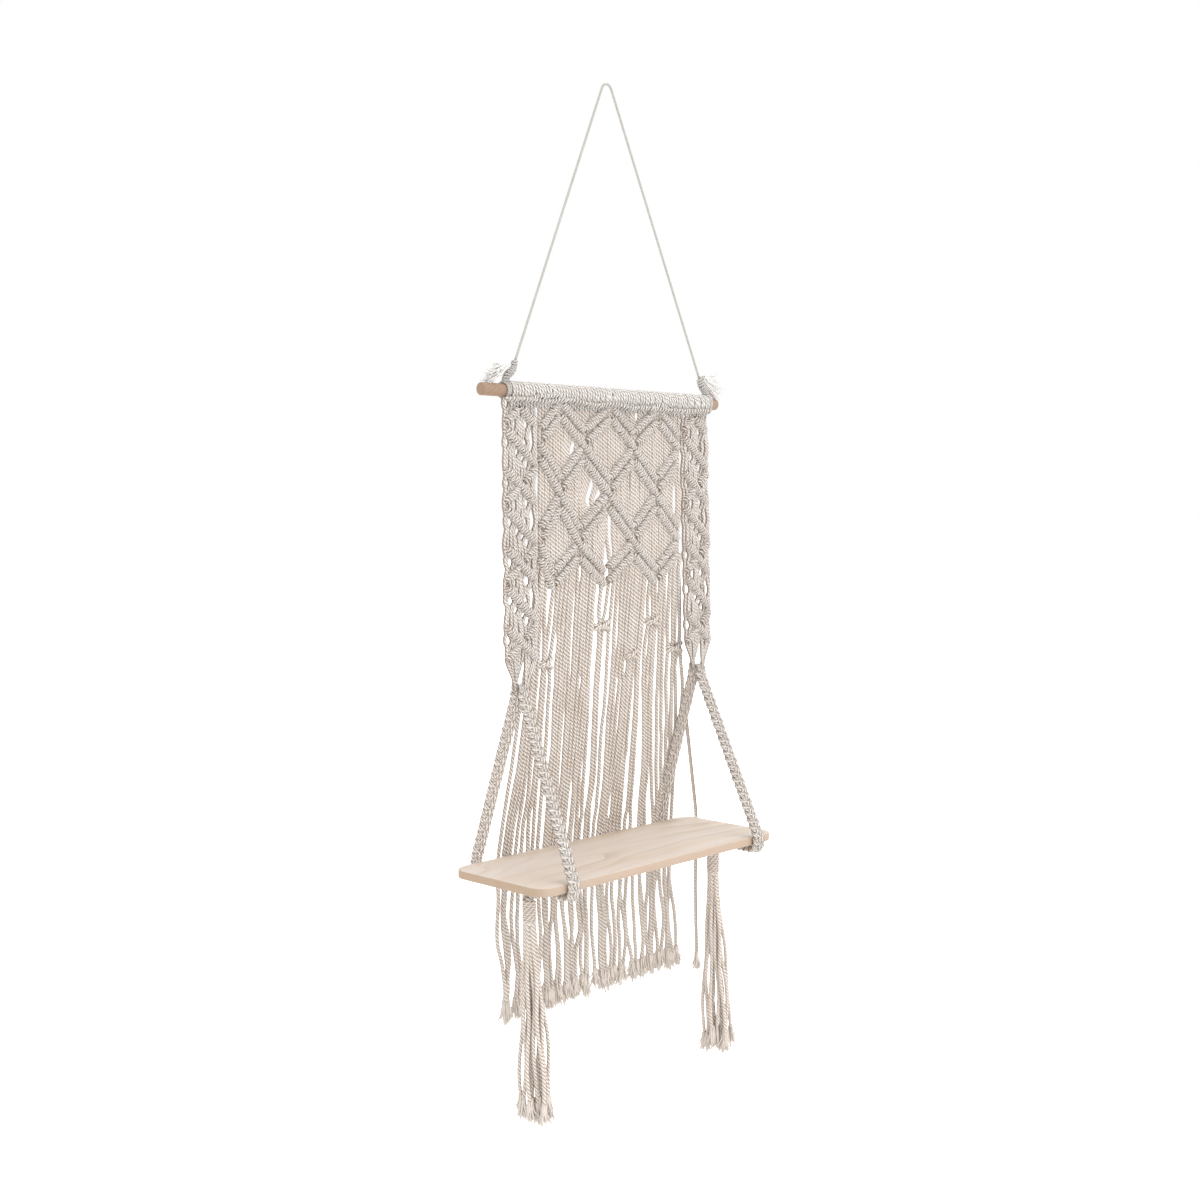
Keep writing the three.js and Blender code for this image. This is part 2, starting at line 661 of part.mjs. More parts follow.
// A gathering knot on the fringe: a few strands held in one lump, thickest in its middle.
function gatheringKnot(knot) {
  const rootZ = hemAt(knot.x) - FRINGE.stripDrop;
  const depth = fringeDepth(rootZ, knot.z);
  const { half, scales, shoulder } = GATHERING;
  const last = scales.length - 1;
  const path = scales.map((_, k) => new THREE.Vector3(knot.x + mix(-half, half, k / last), depth, knot.z));
  return sweep(path, (k) => {
    const wide = GATHERING.height / 2 * scales[k];
    const deep = GATHERING.depth / 2 * scales[k];
    const low = deep * shoulder;
    return [[-wide, -low], [0, -deep], [wide, -low], [wide, low], [0, deep], [-wide, low]];
  }, AXIS_Y);
}

function fringe() {
  const routes = Array.from({ length: FRINGE.strands }, (_, i) => fringeRoute(i));
  const knots = GATHERING_KNOTS.map(gatheringKnot);
  return geometryOf(joined([comb(routes, FRINGE.strip), ...knots]));
}

// A braid's route: from the strap's foot to the board's edge, round it, and under the board to the neck.
function braidRoute(spec) {
  const clear = EDGE_CLEARANCE + BRAID.radius;
  const edgeY = spec.side < 0 ? BOARD.front - clear : BOARD.back + clear;
  const underZ = BOARD.top - BOARD.thickness - clear;
  const topY = spec.side * (BRAID.radius + PIECE_GAP);
  const neckY = NECK_Y + spec.side * NECK_OFFSET;
  const round = EDGE_ROUND;
  const run = UNDER_RUN;
  return [
    [spec.topX, topY, BRAID.top],
    [spec.topX, topY, BRAID.top - BRAID.plumb],
    [spec.edgeX, edgeY - spec.side * round.topIn, BOARD.top + round.above],
    [spec.edgeX, edgeY + spec.side * round.bottomOut, BOARD.top - BOARD.thickness + round.below],
    [spec.edgeX, edgeY - spec.side * round.underIn, underZ + round.underRise],
    [mix(spec.edgeX, spec.neckX, run.startShare), edgeY - spec.side * run.start, underZ - round.underRise],
    [mix(spec.edgeX, spec.neckX, run.endShare), NECK_Y + spec.side * run.end, underZ - run.sag],
    [spec.neckX, neckY, underZ - run.neckDrop],
    [spec.neckX, neckY, NECK_Z],
  ].map(([x, y, z]) => new THREE.Vector3(x, y, z));
}

function braid(spec) {
  const path = evenPoints(braidRoute(spec), BRAID.pitch);
  const taperFrom = path.length - 1 - BRAID.taperRings;
  const body = sweep(path, (k) => {
    const swell = k % 2 === 0 ? BRAID.valley : 1;
    const taper = mix(1, BRAID.neckScale, Math.max(k - taperFrom, 0) / BRAID.taperRings);
    return polygon(BRAID.sides, BRAID.radius * swell * taper);
  }, AXIS_X);
  if (spec.name !== "braid_back_right") {
    return body;
  }
  return geometryOf(joined([body, ...LOOSE_STRANDS.map((loose) => looseStrand(spec, loose))]));
}

// A strand that leaves a braid at its rootZ and hangs past the board to its own end.
function looseStrand(spec, loose) {
  const [, top, edge] = braidRoute(spec);
  const root = top.clone().lerp(edge, (top.z - loose.rootZ) / (top.z - edge.z));
  return strand([
    root,
    new THREE.Vector3(loose.boardX, loose.boardY, BOARD.top + LOOSE_CLEARANCE),
    new THREE.Vector3(loose.boardX, loose.boardY, BOARD.top - BOARD.thickness - EDGE_CLEARANCE),
    new THREE.Vector3(loose.endX, loose.boardY, loose.endZ),
  ]);
}

// A tassel: a wrapped neck, ridged once for each turn, over strands that hang a little apart.
function tassel(spec) {
  const top = NECK_Z - PIECE_GAP;
  const rings = 2 * TASSEL.headTurns + 1;
  const path = Array.from({ length: rings }, (_, k) => (
    new THREE.Vector3(spec.neckX, NECK_Y, top - TASSEL.headLength * k / (rings - 1))
  ));
  const headRadius = (k) => (k % 2 === 0 ? TASSEL.headValley : TASSEL.headRadius);
  const head = sweep(path, (k) => polygon(TASSEL.headSides, headRadius(k)), AXIS_X);
  const strands = Array.from({ length: TASSEL.strands }, (_, i) => {
    const turn = i / TASSEL.strands * 2 * Math.PI;
    const reach = i % 3 === 2 ? TASSEL.innerReach : 1;
    const spread = (radius) => [reach * radius * Math.cos(turn), reach * radius * Math.sin(turn)];
    const [topX, topY] = spread(TASSEL.topRadius);
    const [endX, endY] = spread(TASSEL.endRadius);
    const end = spec.end - (uneven(i, 4) - 0.5) * TASSEL.endSpread;
    const halfwayX = mix(spec.neckX, spec.endX, TASSEL.drift) + mix(topX, endX, TASSEL.opening);
    const halfwayY = NECK_Y + mix(topY, endY, TASSEL.opening);
    return strand([
      new THREE.Vector3(spec.neckX + topX, NECK_Y + topY, top - TASSEL.headLength + TASSEL.root),
      new THREE.Vector3(halfwayX, halfwayY, mix(top, end, 0.5)),
      new THREE.Vector3(spec.endX + endX, NECK_Y + endY, end),
    ]);
  });
  return geometryOf(joined([head, ...strands]));
}

function material(color, roughness) {
  return new THREE.MeshStandardMaterial({ color, roughness, metalness: 0 });
}

const COTTON = () => material(0xded4c8, 0.95);
const HANGER_COTTON = () => material(0xe4ded4, 0.95);
const PINE = () => material(0xe9d2b2, 0.6);
const ROD_WOOD = () => material(0xcaa88e, 0.6);

const shelf = new THREE.Group();
shelf.name = "macrame_wall_shelf";
shelf.position.set(0, 0, -ROD_DROP);

function place(name, geometry, finish) {
  const mesh = new THREE.Mesh(geometry, finish);
  mesh.name = name;
  shelf.add(mesh);
}

place("hanging_cord", hangingCord(), HANGER_COTTON());
HANGER_KNOTS.forEach((knot) => place(knot.name, hangerKnot(knot), HANGER_COTTON()));
place("rod", rod(), ROD_WOOD());
place("heading", heading(), COTTON());
place("panel", panel(), COTTON());
STRAPS.forEach((spec) => place(spec.name, strap(spec), COTTON()));
place("fringe", fringe(), COTTON());
BRAIDS.forEach((spec) => place(spec.name, braid(spec), COTTON()));
TASSELS.forEach((spec) => place(spec.name, tassel(spec), COTTON()));
place("board", board(), PINE());

export default new THREE.Group().add(shelf);
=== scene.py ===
"""Macrame wall shelf: knotted cotton on a wooden rod with a pine board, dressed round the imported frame.

Metres, +Z up, front towards -Y, origin under the apex of the hanging cord. Sizes are given in
millimetres from the rod's axis, as a maker would measure them, and are turned into metres in the
frame's own axes where the meshes are made.
"""

import logging
import math
from collections.abc import Callable
from dataclasses import dataclass, field
from enum import Enum

import bpy
import numpy as np
from mathutils import Euler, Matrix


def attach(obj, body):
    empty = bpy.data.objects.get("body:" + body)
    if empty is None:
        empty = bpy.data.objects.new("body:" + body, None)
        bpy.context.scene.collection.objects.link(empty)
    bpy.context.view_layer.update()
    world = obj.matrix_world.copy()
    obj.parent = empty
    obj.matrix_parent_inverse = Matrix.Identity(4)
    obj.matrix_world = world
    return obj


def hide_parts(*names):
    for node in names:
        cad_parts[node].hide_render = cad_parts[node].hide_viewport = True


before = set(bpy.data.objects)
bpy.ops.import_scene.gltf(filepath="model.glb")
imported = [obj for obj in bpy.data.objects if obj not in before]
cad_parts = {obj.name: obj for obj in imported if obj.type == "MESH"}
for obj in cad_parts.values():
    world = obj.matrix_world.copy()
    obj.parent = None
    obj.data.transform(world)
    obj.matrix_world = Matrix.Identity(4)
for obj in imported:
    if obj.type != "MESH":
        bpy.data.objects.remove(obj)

log = logging.getLogger("macrame_shelf")
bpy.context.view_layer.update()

Array = np.ndarray
Colour = tuple[float, float, float]
# A millimetre in metres.
MM = 0.001
AXIS_X = np.array([1.0, 0.0, 0.0])
AXIS_Y = np.array([0.0, 1.0, 0.0])
AXIS_Z = np.array([0.0, 0.0, 1.0])

# How far the rod's axis lies under the origin, in millimetres.
ROD_DROP = 378.0
# Half the thickness of a cotton strand, and where the knotted cloth's middle and its top lie.
CORD_RADIUS = 2.2
CLOTH_Y = -2.2
CLOTH_TOP = -8.0
# The way from left to right in the photograph's view, as x and y.
VIEW_RIGHT = (0.69, -0.73)

# One step of V along a cord, in millimetres, and how much less V each further cord starts with.
UV_LENGTH = 10.0
PLY_STEP = 0.27
# How far the start of V is left to chance, for closed loops and for open cords.
LOOP_SHIFT = 7.0
CORD_SHIFT = 0.05
# The UV of a ply's crest, for cut ends, and the same with ten more in U, for loose fibres.
PLY_CREST = np.array([0.5, 0.0])
LOOSE_FIBRE = PLY_CREST + [10.0, 0.0]
# A loose fibre's radius from its root to its tip, and how far inside the cord its root lies.
FIBRE_WIDTHS = np.array([1.0, 1.1, 1.05, 0.9, 0.55])
FIBRE_ROOT = 5.0
# How far beside an opening cords still move, over its width, and how far above and below its
# middle, over its height.
PARTING_REACH = 1.6
PARTING_HEIGHT = 0.56


class Piece(Enum):
    """The record's material slots, one named for each kind of finish."""

    COTTON = "cotton"
    HANGER = "hanger_cotton"
    PINE = "pine"
    ROD = "rod_wood"


def unit(vectors: Array) -> Array:
    """Vectors divided by their own length.

    Args:
        vectors: any array whose last axis is x, y, z.

    Returns:
        The same array with unit vectors.
    """
    length = np.linalg.norm(vectors, axis=-1, keepdims=True)
    return vectors / np.maximum(length, 1e-9)


def mix(a: Array | float, b: Array | float, t: Array | float) -> Array | float:
    """The value a share t of the way from a to b."""
    return a + (b - a) * t


def smooth_step(t: Array) -> Array:
    """A share from 0 to 1 eased at both ends: three t squared less two t cubed."""
    held = np.clip(t, 0.0, 1.0)
    return held * held * (3.0 - 2.0 * held)


def round_angles(count: int) -> Array:
    """The angles of count points spread evenly round a circle."""
    return np.linspace(0.0, 2.0 * np.pi, count + 1)[:-1]


def reach_along(points: Array) -> Array:
    """The length from the first point of a path to each of its points."""
    steps = np.linalg.norm(np.diff(points, axis=0), axis=1)
    return np.concatenate([[0.0], np.cumsum(steps)])


def evenly_spaced(points: Array, count: int) -> Array:
    """Points at equal steps of length along a path.

    Args:
        points: the path, one x, y, z row for each point.
        count: how many points come back.

    Returns:
        An array of count rows.
    """
    reach = reach_along(points)
    even = np.linspace(0.0, reach[-1], count)
    return np.stack([np.interp(even, reach, column) for column in points.T], axis=1)


def along_polyline(corners: Array, count: int, finer: int = 6, rounds: int = 24) -> Array:
    """Points evenly spaced by length on a smoothed polyline.

    The polyline is sampled finely by its length and averaged with its neighbours, which rounds
    the corners, and is then sampled again at equal steps.

    Args:
        corners: the corner points, one x, y, z row each.
        count: how many points come back.
        finer: how many fine samples there are for each of them.
        rounds: how many times each sample is averaged with its neighbours.

    Returns:
        An array of count rows.
    """
    points = evenly_spaced(corners, finer * count)
    for _ in range(rounds):
        points[1:-1] = (points[:-2] + 2.0 * points[1:-1] + points[2:]) / 4.0
    return evenly_spaced(points, count)


def frames_along(paths: Array, reference: Array, closed: bool) -> tuple[Array, Array]:
    """The side and upward directions at every point of some paths.

    The tangent is the difference of the neighbours. The side is the reference crossed with the
    tangent, and the upward direction is the tangent crossed with the side.

    Args:
        paths: points, shaped paths x points x 3.
        reference: a direction that no path runs along.
        closed: whether each path joins its own start.

    Returns:
        Two arrays shaped as paths.
    """
    if closed:
        tangent = np.roll(paths, -1, axis=1) - np.roll(paths, 1, axis=1)
    else:
        tangent = np.gradient(paths, axis=1)
    tangent = unit(tangent)
    side = unit(np.cross(np.broadcast_to(reference, paths.shape), tangent))
    return side, np.cross(tangent, side)


@dataclass
class CordMesh:
    """Round cords gathered into one mesh, with a UV map that runs round and along every cord.

    U goes once round the cord and V counts its length in steps of UV_LENGTH millimetres. Open
    cords count from the height of their start, less PLY_STEP for each cord before them, so the
    twist runs on from neighbour to neighbour.
    """

    name: str
    seed: int
    points: list[Array] = field(default_factory=list)
    faces: list[Array] = field(default_factory=list)
    uvs: list[Array] = field(default_factory=list)
    size: int = 0

    def add(
        self,
        paths: Array,
        radius: Array | float,
        sides: int = 8,
        closed: bool = False,
        reference: Array = AXIS_Y,
        flat: float = 1.0,
        turn: float = 0.0,
        plain: bool = False,
    ) -> None:
        """Adds one cord for each path: a ring of `sides` points about every point of the path.

        A ring's point at angle a is the path's point, plus the radius times the cosine of a along
        the side direction, plus the radius times flat times the sine of a along the upward one.

        Args:
            paths: points in millimetres, shaped cords x points x 3, or points x 3 for one cord.
            radius: one number, or one for each point.
            sides: how many points each ring has.
            closed: whether each cord joins its own start.
            reference: a direction that no path runs along.
            flat: height of the section over its width.
            turn: what U starts from, in turns. The neighbours of a cord are at 0.25 and 0.75.
            plain: whether the cord is a loose fibre, whose U is over ten.
        """
        paths = np.asarray(paths, float)
        if paths.ndim == 2:
            paths = paths[None]
        cords, rings, _ = paths.shape
        side, up = frames_along(paths, reference, closed)
        wide = np.broadcast_to(np.asarray(radius, float), (cords, rings))[..., None, None]
        angle = np.arange(sides) / sides * 2.0 * np.pi
        cos = np.cos(angle)[:, None]
        sin = np.sin(angle)[:, None]
        skin = paths[:, :, None] + wide * (cos * side[:, :, None] + flat * sin * up[:, :, None])

        spans = rings if closed else rings - 1
        c, k, j = np.meshgrid(np.arange(cords), np.arange(spans), np.arange(sides), indexing="ij")
        next_j = (j + 1) % sides
        ring = self.size + (c * rings + k) * sides
        next_ring = self.size + (c * rings + (k + 1) % rings) * sides
        quads = np.stack([ring + j, ring + next_j, next_ring + next_j, next_ring + j], axis=-1)
        steps = np.linalg.norm(np.diff(paths, axis=1), axis=2)
        reach = np.concatenate([np.zeros((cords, 1)), np.cumsum(steps, axis=1)], axis=1)
        last = reach[:, -1:] + np.linalg.norm(paths[:, :1, :] - paths[:, -1:, :], axis=2)
        reach = np.concatenate([reach, last], axis=1) / UV_LENGTH
        start = np.random.default_rng(self.seed + cords).random((cords, 1))
        if closed:
            reach = reach + LOOP_SHIFT * start
        else:
            order = np.arange(cords)[:, None]
            height = paths[:, :1, 2] / UV_LENGTH
            reach = reach + CORD_SHIFT * start - height - PLY_STEP * order
        v0 = reach[c, k]
        v1 = reach[c, k + 1]
        u0 = j / sides + turn
        u1 = (j + 1) / sides + turn
        uv = np.stack([np.stack([u0, v0], -1), np.stack([u1, v0], -1),
                       np.stack([u1, v1], -1), np.stack([u0, v1], -1)], axis=-2)
        if plain:
            uv = np.broadcast_to(LOOSE_FIBRE, uv.shape)
        self.points.append(skin.reshape(-1, 3))
        self.faces.append(quads.reshape(-1, 4))
        self.uvs.append(uv.reshape(-1, 4, 2))
        self.size += cords * rings * sides
        if not closed:
            self._close_ends(paths, sides, rings)

    def _close_ends(self, paths: Array, sides: int, rings: int) -> None:
        """Closes both ends of the cords just added with a fan of faces about the path's end.

        Args:
            paths: the cords' points.
            sides: how many points each ring has.
            rings: how many rings each cord has.
        """
        cords = len(paths)
        first = self.size - cords * rings * sides
        j = np.arange(sides)
        for end, ring in ((0, 0), (-1, rings - 1)):
            centres = self.size + np.arange(cords)
            self.points.append(paths[:, end])
            self.size += cords
            rim = first + (np.arange(cords)[:, None] * rings + ring) * sides
            a = rim + j
            b = rim + (j + 1) % sides
            hub = np.broadcast_to(centres[:, None], a.shape)
            order = [hub, b, a, a] if end == 0 else [hub, a, b, b]
            self.faces.append(np.stack(order, axis=-1).reshape(-1, 4))
            self.uvs.append(np.broadcast_to(PLY_CREST, (a.size, 4, 2)))

    def build(self) -> bpy.types.Object:
        """Makes the object, whose faces are quads apart from the ends' triangles.

        Returns:
            The piece.
        """
        points = np.concatenate(self.points)
        faces = np.concatenate(self.faces)
        uvs = np.concatenate(self.uvs)
        return mesh_object(self.name, points, faces, uvs)


def mesh_object(name: str, points: Array, faces: Array, uvs: Array) -> bpy.types.Object:
    """A smooth mesh object in the frame's axes from points in millimetres.

    Args:
        name: the piece's name.
        points: points in millimetres from the rod's axis.
        faces: four corners for each face, of which a triangle repeats the last.
        uvs: a UV pair for each corner.

    Returns:
        The object, linked to the scene, at the origin.
    """
    keep = np.ones(faces.shape, bool)
    keep[faces[:, 2] == faces[:, 3], 3] = False
    corners = faces[keep]
    sizes = keep.sum(axis=1)
    starts = np.concatenate([[0], np.cumsum(sizes)[:-1]])
    placed = (points - [0.0, 0.0, ROD_DROP]) * MM
    mesh = bpy.data.meshes.new(name)
    mesh.vertices.add(len(placed))
    mesh.vertices.foreach_set("co", placed.astype(np.float32).ravel())
    mesh.loops.add(len(corners))
    mesh.loops.foreach_set("vertex_index", corners.astype(np.int32))
    mesh.polygons.add(len(faces))
    mesh.polygons.foreach_set("loop_start", starts.astype(np.int32))
    layer = mesh.uv_layers.new(name="CordUV")
    layer.data.foreach_set("uv", uvs[keep].astype(np.float32).ravel())
    mesh.update(calc_edges=True)
    mesh.validate()
    mesh.shade_smooth()
    made = bpy.data.objects.new(name, mesh)
    bpy.context.scene.collection.objects.link(made)
    return made


@dataclass(frozen=True)
class Parting:
    """A lens-shaped opening between neighbouring cords, in millimetres."""

    x: float
    z: float
    wide: float
    high: float


def parted(x: Array, z: Array, partings: list[Parting]) -> Array:
    """Moves cords aside round some openings.

    Each cord keeps to the side of an opening on which it passes the opening's middle height. It
    moves by half the width, less with its distance across (a bell curve) and with its distance
    in height from the opening's middle (a flat-topped bell, e to the minus fourth power).

    Args:
        x: the cords' x, shaped cords x points.
        z: their heights, shaped the same.
        partings: the openings.

    Returns:
        The cords' new x.
    """
    moved = x.copy()
    row = np.arange(len(x))
    for gap in partings:
        nearest = np.abs(z - gap.z).argmin(axis=1)
        away = x[row, nearest] - gap.x
        side = np.where(away < 0.0, -1.0, 1.0)
        across = np.exp(-((away / (PARTING_REACH * gap.wide)) ** 2))
        height = np.exp(-(((z - gap.z) / (PARTING_HEIGHT * gap.high)) ** 4))
        moved += (side * across * 0.5 * gap.wide)[:, None] * height
    return moved


@dataclass(frozen=True)
class KnotRow:
    """A row of double half hitches: cords wrapped side by side over a carrier cord.

    The ends are x and z. half is the wraps' half width across the row, and depth their half
    depth. The wraps stand a pitch apart, and those of a falling row slant by the share slide.
    """

    start: tuple[float, float]
    end: tuple[float, float]
    half: float = 4.1
    depth: float = 3.6
    centre_y: float = -4.4
    radius: float = 2.0
    pitch: float = 3.7
    slide: float = 0.3

    @property
    def falls(self) -> bool:
        """Whether the row falls to the right, which makes it a smooth ridge of slanting wraps."""
        return self.end[1] < self.start[1]

    def middles(self) -> tuple[Array, Array, Array]:
        """Where the wraps stand on the straight carrier between the row's ends.

        Returns:
            The wraps' middles, the row's own direction, and the direction that wraps run in.
        """
        a = np.array([self.start[0], self.centre_y, self.start[1]])
        b = np.array([self.end[0], self.centre_y, self.end[1]])
        slide = self.slide if self.falls else 0.0
        count = max(2, round(float(np.linalg.norm(b - a)) / self.pitch))
        share = (np.arange(count) + 0.5) / count
        along = unit(b - a)
        across = np.cross(AXIS_Y, along)
        across = across * np.sign(across[2])
        wrap = across + slide * along
        return a + share[:, None] * (b - a), along, wrap

    def wraps(self, rng: np.random.Generator) -> tuple[Array, Array]:
        """Closed loops round the carrier, one for each wrap.

        A loop's point at angle a is its middle, plus the wrap's direction times the half width
        times the cosine of a, less the depth times the sine of a along Y. The sine is raised to
        the power 0.8, which squares the loop's front, and the loop slips along the row by a
        third of a cord between its back and its front. The first and last loops are smaller,
        which closes the row's ends.

        Args:
            rng: the source of small unevenness.

        Returns:
            The loops, shaped wraps x points x 3, and the row's direction.
        """
        middles, along, wrap = self.middles()
        count = len(middles)
        angle = round_angles(14)
        cos = np.cos(angle)[None, :, None]
        sin = np.sin(angle)
        bulge = (np.sign(sin) * np.abs(sin) ** 0.8)[None, :, None]
        size = 1.0 + 0.05 * rng.standard_normal((count, 1, 1))
        size[[0, -1]] *= 0.7
        tilt = 0.08 * rng.standard_normal((count, 1, 1))
        loops = (
            middles[:, None]
            + self.half * size * cos * (wrap + tilt * along)
            - self.depth * size * bulge * AXIS_Y
            + 0.7 * sin[None, :, None] * along
        )
        return loops, along


def add_row(
    cords: CordMesh,
    row: KnotRow,
    rng: np.random.Generator,
    keep: Callable[[Array, Array], Array] | None = None,
) -> None:
    """Adds a row's wraps and its carrier, which reaches 0.8 mm past the outermost wraps' middles.

    Args:
        cords: the mesh that they join.
        row: the row of knots.
        rng: the source of small unevenness.
        keep: says from the wraps' middles, as x and z, which are made. None makes all.
    """
    loops, along = row.wraps(rng)
    if keep is not None:
        middles = loops.mean(axis=1)
        loops = loops[keep(middles[:, 0], middles[:, 2])]
    if len(loops):
        cords.add(loops, row.radius, closed=True, reference=along)
        middles = loops.mean(axis=1)
        core = middles[[0, -1]] + np.array([[-0.8], [0.8]]) * along
        cords.add(core, 0.62 * row.half, flat=0.9)


def frayed_ends(
    cords: CordMesh,
    ends: Array,
    length: float,
    spread: float,
    rng: np.random.Generator,
    fibres: int,
    heading: Array = -AXIS_Z,
) -> None:
    """Adds the unravelled fibres at cords' cut ends.

    A fibre starts within the cord, runs on in the cord's own direction and opens outwards with
    the square of its share of the way, thinner towards its tip.

    Args:
        cords: the mesh that the fibres join.
        ends: the cords' ends, one x, y, z row each.
        length: how long the fibres are, in millimetres.
        spread: how far apart their tips stand.
        rng: the source of unevenness.
        fibres: how many fibres each end has.
        heading: the direction in which the fibres run.
    """
    count = len(ends)
    rings = len(FIBRE_WIDTHS)
    t = np.linspace(0.0, 1.0, rings)[None, None, :, None]
    root = rng.standard_normal((count, fibres, 1, 3)) * 1.3
    open_out = rng.standard_normal((count, fibres, 1, 3)) * spread * 0.4 + 1.2 * root
    run = heading * length * (0.85 + 0.25 * rng.random((count, fibres, 1, 1)))
    inside = heading * FIBRE_ROOT
    paths = ends[:, None, None, :] - inside + root + (run + inside) * t + open_out * t * t
    off_axis = AXIS_Y + 0.3 * AXIS_X
    cords.add(paths.reshape(-1, rings, 3), FIBRE_WIDTHS, sides=3, reference=off_axis, plain=True)


@dataclass
class Heading:
    """The lark's head knots that cover the rod, with their cross bar in front.

    The bar and the lumps of a second bar over it are rows of x and z along their middle lines.
    """

    left: float = -166.0
    right: float = 186.4
    wraps: int = 78
    reach: float = 9.6
    slits: tuple[Parting, ...] = (
        Parting(-163.0, -8.0, 3.2, 5.0),
        Parting(-142.0, -6.0, 3.2, 6.0),
        Parting(-130.0, -3.0, 3.0, 5.0),
        Parting(-112.0, -3.0, 3.0, 5.0),
        Parting(-102.5, 0.0, 3.4, 5.0),
        Parting(-36.5, -7.0, 3.4, 5.0),
        Parting(-23.5, -5.0, 3.4, 6.0),
        Parting(-11.5, -3.5, 3.6, 7.0),
        Parting(0.5, -2.0, 4.2, 9.0),
        Parting(45.5, -8.0, 3.4, 5.0),
        Parting(80.5, -3.0, 3.4, 6.0),
        Parting(90.5, -3.0, 3.4, 6.0),
        Parting(133.0, -8.0, 3.2, 5.0),
        Parting(145.0, -7.0, 3.0, 5.0),
        Parting(156.5, -3.0, 3.4, 7.0),
        Parting(168.5, -3.0, 3.6, 8.0),
    )
    bar: tuple[tuple[float, float], ...] = (
        (-178, -10.0), (-160, -9.2), (-147, -9.5), (-136, -10.2), (-122, -10.6), (-108, -9.6),
        (-97, -8.4), (-85, -7.0), (-70, -7.5), (-58, -9.0), (-45, -10.5), (-34, -11.5),
        (-22, -11.0), (-8, -9.3), (6, -8.4), (16, -9.5), (26, -11.5), (36, -12.4), (46, -11.0),
        (60, -10.8), (75, -10.8), (86, -11.0), (100, -11.6), (116, -12.0), (130, -12.2),
        (146, -11.6), (160, -10.4), (174, -9.8), (188, -10.2),
    )
    lumps: tuple[tuple[tuple[float, float], ...], ...] = (
        ((-139, -8.5), (-130, -5.0), (-119, -5.2), (-106, -3.6), (-96, -3.4), (-86, -6.0)),
        ((72, -9.5), (80, -7.6), (88, -6.0), (97, -9.0)),
    )
    bar_y: float = -10.2
    bar_radius: float = 2.3
    lean_pitch: float = 5.2
    lean_radius: float = 1.6

    def build(self) -> bpy.types.Object:
        """Makes the loops round the rod, their legs down to the cloth and the bars across them.

        A loop's point at angle a is the rod's axis plus the reach times the cosine of a along Z
        and times the sine of a along Y. In front the loops stand apart at a few dark slits. The
        bars follow the loops in front, as wraps leaning over a cord.

        Returns:
            The piece.
        """
        rng = np.random.default_rng(5)
        cords = CordMesh("heading_knots", seed=5)
        x = np.linspace(self.left, self.right, self.wraps)
        x = x + 0.2 * rng.standard_normal(self.wraps)
        angle = round_angles(24)
        reach = self.reach * (1.0 + 0.015 * rng.standard_normal((self.wraps, 1)))
        z = reach * np.cos(angle)[None, :]
        y = reach * np.sin(angle)[None, :]
        at_x = x[:, None] + 0.5 * np.sin(angle)[None, :]
        in_front = smooth_step(-2.0 * np.sin(angle))[None, :]
        at_x = mix(at_x, parted(at_x, z, list(self.slits)), in_front)
        cords.add(np.stack([at_x, y, z], axis=-1), CORD_RADIUS, closed=True, reference=AXIS_X)

        legs = np.array([[-9.0, 1.0], [-8.6, -3.5], [-6.8, -8.0], [-4.4, -11.5], [-4.0, -18.0]])
        leg_y, leg_z = legs.T
        shape = (self.wraps, len(legs))
        paths = np.stack([
            np.broadcast_to(x[:, None], shape),
            np.broadcast_to(leg_y, shape),
            np.broadcast_to(leg_z, shape),
        ], axis=-1)
        cords.add(paths, CORD_RADIUS, reference=AXIS_X)
        for corners in (self.bar, *self.lumps):
            self.add_bar(cords, np.array(corners), rng)
        return cords.build()

    def add_bar(self, cords: CordMesh, corners: Array, rng: np.random.Generator) -> None:
        """Adds one bar: a cord through the corners with short wraps that lean over it.

        A wrap's point at angle a is its place on the bar, plus 1.6 times the cosine of a along X
        and 2.1 times along Z, less 2.2 times the sine of a along Y, in millimetres.

        Args:
            cords: the heading's mesh.
            corners: x, z rows of the bar's middle line.
            rng: the source of small unevenness.
        """
        bar_y = np.full(len(corners), self.bar_y)
        line = along_polyline(np.column_stack([corners[:, 0], bar_y, corners[:, 1]]), 240)
        cords.add(line, self.bar_radius, turn=0.25)
        span = float(line[-1, 0] - line[0, 0])
        count = round(span / self.lean_pitch)
        at_x = line[0, 0] + (np.arange(count) + 0.5) / count * span + 0.4 * rng.standard_normal(count)
        at_z = np.interp(at_x, line[:, 0], line[:, 2])
        angle = round_angles(12)
        size = 1.0 + 0.12 * rng.standard_normal((count, 1))
        loops = np.stack([
            at_x[:, None] + 1.6 * np.cos(angle),
            -10.6 - 2.2 * size * np.sin(angle),
            at_z[:, None] - 0.4 + 2.1 * size * np.cos(angle),
        ], axis=-1)
        cords.add(loops, self.lean_radius, sides=7, closed=True, reference=AXIS_X)


